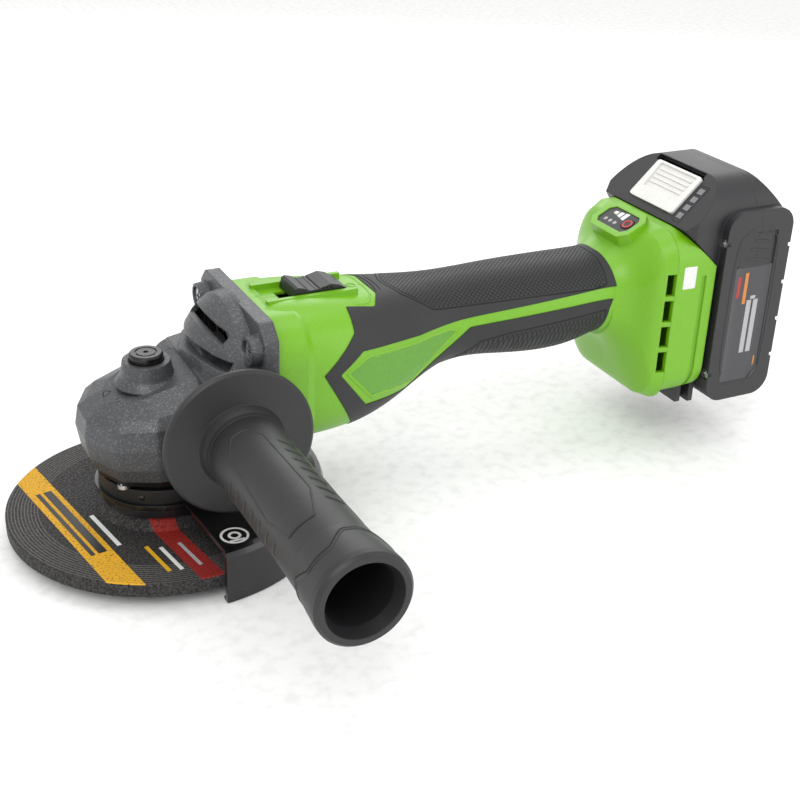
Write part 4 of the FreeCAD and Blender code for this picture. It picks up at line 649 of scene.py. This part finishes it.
def belly_field():
    """Knurled field round the belly of the grip, reaching forward under it."""
    # its upper edge, as (x, degrees from straight up)
    top = [(119.0, 109.7), (137.0, 109.7), (151.4, 102.9), (GRIP_BACK, 94.9)]
    long_steps = 120
    half_steps = 35
    rays = []
    for i in range(long_steps + 1):
        line = []
        for j in range(2 * half_steps + 1):
            share = j / half_steps - 1
            front = 138.0 - 19.0 * min(1.0, (1 - abs(share)) * 1.4)
            x = front + (GRIP_BACK - FIELD_MARGIN - front) * i / long_steps
            line.append(round_grip(x, 180 + (178.6 - value_at(top, x)) * share))
        rays.append(line)
    pad("grip_belly_field", grid_hits(rubber, rays), 0.18, KNURL, "housing", sink=FIELD_SINK)
    edge = [(119.0, 155.0)] + top[1:] + [(GRIP_BACK, 108.0)]
    for side, label in SIDES:
        hits = landed(rubber, [round_grip(x, -side * d) for x, d in divided(edge, 24)])
        bead(f"belly_groove_{label}", hits, FIELD_GROOVE_WIDE, FIELD_GROOVE_HIGH, GROOVE, "housing")


def side_field():
    """Polished field sunk inside the green arrowhead on each side, left blank, with its raised border; its
    darker, greyer colour is painted shade.
    """
    upper = [(69.0, 64.4), (78.5, 69.4), (103.0, 68.4), (121.0, 70.2), (124.5, 68.8)]
    lower = [(69.0, 64.0), (80.4, 51.0), (101.5, 50.6), (124.5, 68.4)]
    outline = divided(upper + lower[::-1], 20, closed=True)
    for side, label in SIDES:
        hits = landed(shell, from_side(outline, side))
        bead(f"field_border_{label}", hits, 1.6, 0.5, ABS_LIME, "housing", closed=True)
        rays = []
        for i in range(41):
            x = 70.0 + 53.5 * i / 40
            low = value_at(lower, x)
            high = value_at(upper, x)
            rays.append(from_side([(x, low + (high - low) * j / 10) for j in range(11)], side))
        pad(f"blank_field_{label}", grid_hits(shell, rays), 0.06, ABS_FIELD_SHADED, "housing", sink=FILM_SINK)


def value_at(line, x):
    """Value of a broken line at x; past its end, the value at its end."""
    for (x1, v1), (x2, v2) in zip(line, line[1:]):
        if x1 <= x <= x2:
            return v1 + (v2 - v1) * (x - x1) / (x2 - x1)
    return line[-1][1]


# ---------------------------------------------------------------- marks on the housing
def switch_marks():
    """Ring on the tongue behind the slider and bar in front of it: the usual off and on marks."""
    spot, normal = landed(shell, from_above([(84.0, 0.0)]))[0]
    flat_ring("off_mark", spot, normal, 2.3, 1.6, 0.25, ABS_LIME, "housing")
    hits = landed(shell, from_above([(41.0 + 0.5 * k, -12.5) for k in range(8)]))
    bead("on_mark", hits, 0.9, 0.3, ABS_LIME, "housing")


def tongue_rim():
    """Raised edge round the green tongue that the slider runs on."""
    outline = [(78.5, -17.0), (84.5, -16.6), (88.6, -9.5), (88.6, 9.5), (84.5, 16.6), (78.5, 17.0)]
    hits = landed(shell, from_above(eased(outline, 1.0)))
    bead("tongue_rim", hits, 1.2, 0.5, ABS_LIME, "housing")


def mount_label():
    """Blank white label on the battery mount."""
    wide = 6.6
    high = 10.5
    rays = []
    for i in range(13):
        x = SEAM_X + 3.6 + wide * i / 12
        rays.append(from_side([(x, 77.0 + high * j / 16) for j in range(17)]))
    hits = grid_hits(surface_of("battery_mount"), rays)
    pad("blank_label", hits, 0.12, WHITE_INK, "housing", sink=FILM_SINK)


def seam_beads():
    """Fine bead in front of the seam between the shells and the battery mount."""
    ahead = SEAM_X - 5.6
    places = eased([(ahead, 96.0), (ahead, 30.0)], 2.0)
    for side, label in SIDES:
        hits = landed(shell, from_side(places, side))
        bead(f"seam_bead_{label}", hits, 0.9, 0.25, ABS_LIME, "housing")


# ---------------------------------------------------------------- control panel
def panel_marks():
    """Three speed lights, a wedge of three bars and the ring on top of the button."""
    slope = math.radians(27)
    along = Vector((math.cos(slope), 0, math.sin(slope)))
    across = Vector((0, 1, 0))
    normal = along.cross(across).normalized()
    panel_low, panel_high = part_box("control_panel")
    face = (panel_low + panel_high) / 2
    lift = normal * (0.52 * MM)
    for k in range(3):
        centre = face + along * (-2.4 * MM) + across * ((6.6 - 3.4 * k) * MM) + lift
        dome(f"speed_light_{k + 1}", centre, normal, 1.05, 0.35, GREY_INK, "housing")
    bar_place = 2.9
    bar_half_wide = 1.25
    flare = 0.35
    for k in range(3):
        v = 5.4 - 3.3 * k
        half = 0.75 + 0.62 * k
        near = v - bar_half_wide
        far = v + bar_half_wide
        corners = [(bar_place - half - flare, near), (bar_place + half + flare, near),
                   (bar_place + half, far), (bar_place - half, far)]
        plate(f"speed_wedge_{k + 1}", face + lift, along, across, corners, 0.12, WHITE_INK, "housing")
    button_low, button_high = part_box("speed_button")
    top = (button_low + button_high) / 2 + normal * (1.5 * MM)
    flat_ring("speed_button_ring", top, normal, 2.4, 1.7, 0.12, BUTTON_RED, "speed")


# ---------------------------------------------------------------- gear head
def head_marks():
    """Turning arrow and two bars engraved in the front of the gear case, drawn as thin black beads: painted
    shade in the engraved lines.
    """
    line_wide = 0.7
    line_high = 0.22
    case = surface_of("gear_case")
    arrow = [(-21.5, -1.0), (-20.0, 3.8), (-17.4, 0.6)]
    hits = landed(case, from_above(eased(arrow, 0.6, closed=True)))
    bead("turn_arrow", hits, line_wide, line_high, GROOVE, "housing", closed=True)
    for k in range(2):
        y = -6.4 - 2.4 * k
        hits = landed(case, from_above([(-18.6 + 0.5 * i, y) for i in range(6)]))
        bead(f"turn_bar_{k + 1}", hits, line_wide, line_high, GROOVE, "housing")


def band_rivets():
    """Two rivet heads on the guard's clamp band."""
    band_radius = 24.8
    band_z = 20.8
    for k, degrees in enumerate((236.0, 150.0)):
        turn = math.radians(degrees)
        out = Vector((math.cos(turn), math.sin(turn), 0))
        centre = at(band_radius * out.x, band_radius * out.y, band_z)
        dome(f"band_rivet_{k + 1}", centre, out, 1.3, 0.7, COVER, "guard")


def guard_mark():
    """Generic round mark on top of the guard: a white ring round a plain wheel and a bar."""
    spot = landed(surface_of("guard_shell"), from_above([(11.5, -56.0)]))[0][0]
    ink_high = 0.08
    along = Vector((1, 0, 0))
    across = Vector((0, 1, 0))
    up = Vector((0, 0, 1))
    flat_ring("guard_mark_ring", spot, up, 5.6, 4.6, ink_high, WHITE_INK, "guard")
    flat_ring("guard_mark_wheel", spot, up, 2.6, 1.5, ink_high, WHITE_INK, "guard")
    plate("guard_mark_bar", spot, along, across, box_of(0, -3.4, 3.0, 0.5), ink_high, WHITE_INK, "guard")


def wheel_marks():
    """Generic print on the wheel: plain bars where words would be."""
    wheel = surface_of("grinding_wheel")
    above = Vector((0, 0, 50 * MM))
    down = Vector((0, 0, -1))
    # each bar: its place across and along the print, half its length, half its width, and its ink
    bars = [(-41.4, -3.0, 27.0, 0.9, BLACK_INK), (-37.4, -3.0, 27.0, 1.7, BLACK_INK),
            (-30.0, 10.0, 13.0, 0.9, WHITE_INK), (-22.0, 39.5, 10.0, 0.8, YELLOW_INK),
            (-17.5, 42.0, 9.0, 0.8, WHITE_INK), (-10.0, 43.0, 9.0, 0.7, GREY_INK)]
    for k, (off, run, half_long, half_wide, ink) in enumerate(bars):
        place = SPINDLE + PRINT_ACROSS * (off * MM) + PRINT_ALONG * (run * MM)
        spot = land(wheel, place + above, down)[0]
        corners = box_of(0, 0, half_wide, half_long)
        plate(f"wheel_bar_{k + 1}", spot, PRINT_ACROSS, PRINT_ALONG, corners, 0.06, ink, "spindle_set")


def handle_panels():
    """Three long panels round the side handle, ribs between them, and a wavy groove near its end."""
    handle = surface_of("side_handle_grip")

    def laid(places):
        """Surface points at (y, degrees from straight up) places round the handle."""
        lines = []
        for y, degrees in places:
            turn = math.radians(degrees)
            way = -Vector((math.sin(turn), 0, math.cos(turn)))
            lines.append((at(HANDLE_X, y, HANDLE_Z) - way * (CLEAR_HANDLE * MM), way))
        return landed(handle, lines)

    outline = [(-65.0, -14), (-73.0, -34), (-112.0, -46), (-128.0, -34),
               (-128.0, 10), (-112.0, 30), (-72.0, 26), (-65.0, 8)]
    between = 52
    for k in range(3):
        middle = -24.0 + 120.0 * k
        hits = laid([(y, middle + d) for y, d in divided(outline, 18, closed=True)])
        bead(f"handle_panel_{k + 1}", hits, 1.0, 0.42, HANDLE, "housing", closed=True)
        for end, span in ((-128.8, range(-34, 12, 2)), (-64.6, range(-12, 8, 2))):
            hits = laid([(end, middle + d) for d in span])
            bead(f"handle_groove_{k + 1}_{int(-end)}", hits, 1.0, 0.32, GROOVE, "housing")
        for i in range(7):
            y = -76.0 - 7.0 * i
            rib = [(y - 0.10 * (d + 16), middle + between + d) for d in range(-15, 17, 3)]
            shadow = [(place - 1.1, d) for place, d in rib]
            bead(f"handle_notch_{k + 1}_{i + 1}", laid(rib), 1.3, 0.5, HANDLE, "housing")
            bead(f"handle_notch_shadow_{k + 1}_{i + 1}", laid(shadow), 0.6, 0.28, GROOVE, "housing")
    wave_y = -144.0
    wave_high = 3.4
    wave = []
    for d in range(0, 360, 3):
        swing = max(-1.0, min(1.0, 1.7 * math.sin(math.radians(3 * d + 40))))
        wave.append((wave_y + wave_high * swing, d))
    lip = [(y - 1.2, d) for y, d in wave]
    bead("handle_wavy_groove", laid(wave), 0.9, 0.32, GROOVE, "housing", closed=True)
    bead("handle_wavy_lip", laid(lip), 1.3, 0.5, HANDLE, "housing", closed=True)


# ---------------------------------------------------------------- battery pack
pack_sides = surface_of("battery_case_front", "battery_case_rear")


def pack_label(side, label):
    """Printed label and its generic bars on one side of the pack."""
    label_wide = 21.5
    label_high = 56.5
    field_sunk = 0.8
    label_lift = 0.1
    # each bar: its name, its place up and back from the middle, half its height and width, and its ink
    bars = [("charge_big_bar", -1.0, 3.2, 13.0, 1.3, GREY_INK),
            ("charge_mid_bar", -1.0, -0.6, 13.0, 1.3, GREY_INK),
            ("charge_tip", 13.2, 1.3, 0.8, 1.4, GREY_INK),
            ("orange_bar", 18.0, -3.8, 7.5, 0.9, ORANGE_INK),
            ("orange_block", -21.5, 8.6, 4.6, 1.3, ORANGE_INK),
            ("red_block", 19.0, -8.0, 5.0, 1.1, RED_INK)]
    rays = []
    for i in range(9):
        x = PACK_BACK - 28.5 + label_wide * i / 8
        rays.append(from_side([(x, 28.0 + label_high * j / 16) for j in range(17)], side))
    pad(f"pack_label_{label}", grid_hits(pack_sides, rays), label_lift, LABEL, "battery", sink=FILM_SINK)
    along = Vector((0, 0, 1))
    across = Vector((side, 0, 0))
    middle = at(PACK_BACK - 17.5, side * (PACK_SIDE - field_sunk + label_lift), 56.0)
    for name, up, back, half_high, half_wide, ink in bars:
        corners = box_of(up, back * side, half_high, half_wide)
        plate(f"{name}_{label}", middle, along, across, corners, 0.06, ink, "battery")


def pack_side_ridges(side, label):
    """Four slanted ridges above the label on one side of the pack."""
    step = 0.6
    for k in range(4):
        z = 88.6 + 4.0 * k
        start = PACK_BACK - 24.0 + 1.9 * k
        steps = int((PACK_BACK - 10.5 - start) / step)
        places = [(start + step * i, z - 0.10 * i) for i in range(steps)]
        hits = landed(pack_sides, from_side(places, side))
        bead(f"side_groove_{label}_{k + 1}", hits, 1.5, 0.5, PACK, "battery")


def field_rim():
    """Raised rim round the field on each side of the pack."""
    front = PACK_BACK - 30.2
    back = PACK_BACK - 6.2
    corners = [(front, 27.0), (front, 96.5), (PACK_BACK - 22.0, 102.4),
               (back, 102.4), (back, 33.0), (PACK_BACK - 12.0, 26.6)]
    outline = eased(corners, 1.5, closed=True)
    for side, label in SIDES:
        hits = landed(pack_sides, from_side(outline, side))
        bead(f"pack_field_rim_{label}", hits, 1.2, 0.4, PACK, "battery", closed=True)


def charge_frame():
    """Dark frame standing round the charge lights."""
    low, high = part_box("charge_bars")
    run = Vector((high.x - low.x, 0, high.z - low.z))
    slope = run.normalized()
    across = Vector((0, 1, 0))
    normal = slope.cross(across).normalized()
    middle = (low + high) / 2 + normal * (0.72 * MM)
    half_run = (run.length / 2) / MM + 0.9
    half_wide = (high.y - low.y) / 2 / MM + 0.7
    corners = [middle + slope * (u * MM) + across * (v * MM) for u, v in box_of(0, 0, half_run, half_wide)]
    steps = 8
    hits = []
    for a, b in zip(corners, corners[1:] + corners[:1]):
        hits += [(a.lerp(b, k / steps), normal) for k in range(steps)]
    bead("charge_light_frame", hits, 0.7, 0.25, TRIM, "battery", closed=True)


def rear_ribs():
    """Upright ribs and a blank rating label on the back of the pack."""
    rear = surface_of("battery_case_rear")
    spacing = 12.0
    for k in range(5):
        y = -24.0 + spacing * k
        hits = landed(rear, [from_rear(y, z) for z in range(84, 104, 2)])
        bead(f"rear_rib_{k + 1}", hits, 1.6, 0.6, PACK, "battery")
    label_wide = 44
    label_high = 34
    rays = []
    for i in range(11):
        y = -22 + label_wide * i / 10
        rays.append([from_rear(y, 36 + label_high * j / 10) for j in range(11)])
    pad("rear_rating_label", grid_hits(rear, rays), 0.1, LABEL, "battery", sink=FILM_SINK)


knurled_panel()
thumb_grooves()
belly_field()
side_field()
switch_marks()
tongue_rim()
mount_label()
seam_beads()
panel_marks()
head_marks()
band_rivets()
guard_mark()
wheel_marks()
handle_panels()
for side, label in SIDES:
    pack_label(side, label)
    pack_side_ridges(side, label)
field_rim()
charge_frame()
rear_ribs()


# ---------------------------------------------------------------- floor, light and camera
def floor_finish():
    # matt white paper sweep: even and pale, so that only the tool draws the eye
    return moulded("white_paper_sweep", "#FBFBFA", 0.9, 6.0, 0.002, 1.45, uneven=0.004, edge_mm=0.1)


def lamp(name, place, size, power, target):
    """Soft box of a size in metres and a power in watts, turned to the target."""
    light = bpy.data.lights.new(name, "AREA")
    light.shape = "RECTANGLE"
    light.size = size[0]
    light.size_y = size[1]
    light.energy = power
    obj = bpy.data.objects.new(name, light)
    obj.location = place
    obj.rotation_mode = "QUATERNION"
    obj.rotation_quaternion = (target - place).to_track_quat("-Z", "Y")
    bpy.context.scene.collection.objects.link(obj)


def studio():
    """Pale floor just under the tool, pale air and four soft boxes."""
    half = 6.0
    floor_gap = 0.0004
    air_strength = 0.95
    corners = [(-half, -half, 0), (half, -half, 0), (half, half, 0), (-half, half, 0)]
    mesh = bpy.data.meshes.new("floor")
    mesh.from_pydata(corners, [], [(0, 1, 2, 3)])
    mesh.materials.append(floor_finish())
    floor = bpy.data.objects.new("floor", mesh)
    floor.location.z = cad_box[0].z - floor_gap
    bpy.context.scene.collection.objects.link(floor)
    world = bpy.data.worlds.new("studio_air")
    world.use_nodes = True
    air = world.node_tree.nodes["Background"]
    air.inputs["Color"].default_value = linear("#FFFFFF")
    air.inputs["Strength"].default_value = air_strength
    bpy.context.scene.world = world
    middle = at(90, 0, 60)
    lamp("key_softbox", at(-420, -700, 900), (0.6, 0.6), 4.2, middle)
    lamp("top_softbox", at(120, 100, 1000), (0.9, 0.5), 1.8, middle)
    lamp("rim_softbox", at(500, 700, 520), (0.8, 0.4), 1.8, middle)
    lamp("side_softbox", at(650, -600, 380), (0.4, 0.8), 1.3, middle)


def camera():
    """Stands in front of the tool and above it, on the handle's side, slightly rolled."""
    place = at(-129.24, -461.0, 290.54)
    azimuth = math.radians(-27.31)
    elevation = math.radians(26.64)
    roll = math.radians(2.12)
    level = math.cos(elevation)
    back = Vector((math.sin(azimuth) * level, -math.cos(azimuth) * level, math.sin(elevation)))
    level_right = Vector((math.cos(azimuth), math.sin(azimuth), 0))
    level_up = back.cross(level_right)
    right = level_right * math.cos(roll) + level_up * math.sin(roll)
    up = level_up * math.cos(roll) - level_right * math.sin(roll)
    turn = Matrix((right, up, back)).transposed().to_4x4()
    lens = bpy.data.cameras.new("studio_camera")
    lens.sensor_width = 36.0
    lens.lens = 59.58
    lens.clip_start = 0.01
    lens.clip_end = 50.0
    obj = bpy.data.objects.new("studio_camera", lens)
    obj.matrix_world = Matrix.Translation(place) @ turn
    bpy.context.scene.collection.objects.link(obj)
    bpy.context.scene.camera = obj


studio()
camera()
bpy.context.scene.view_settings.view_transform = "Standard"
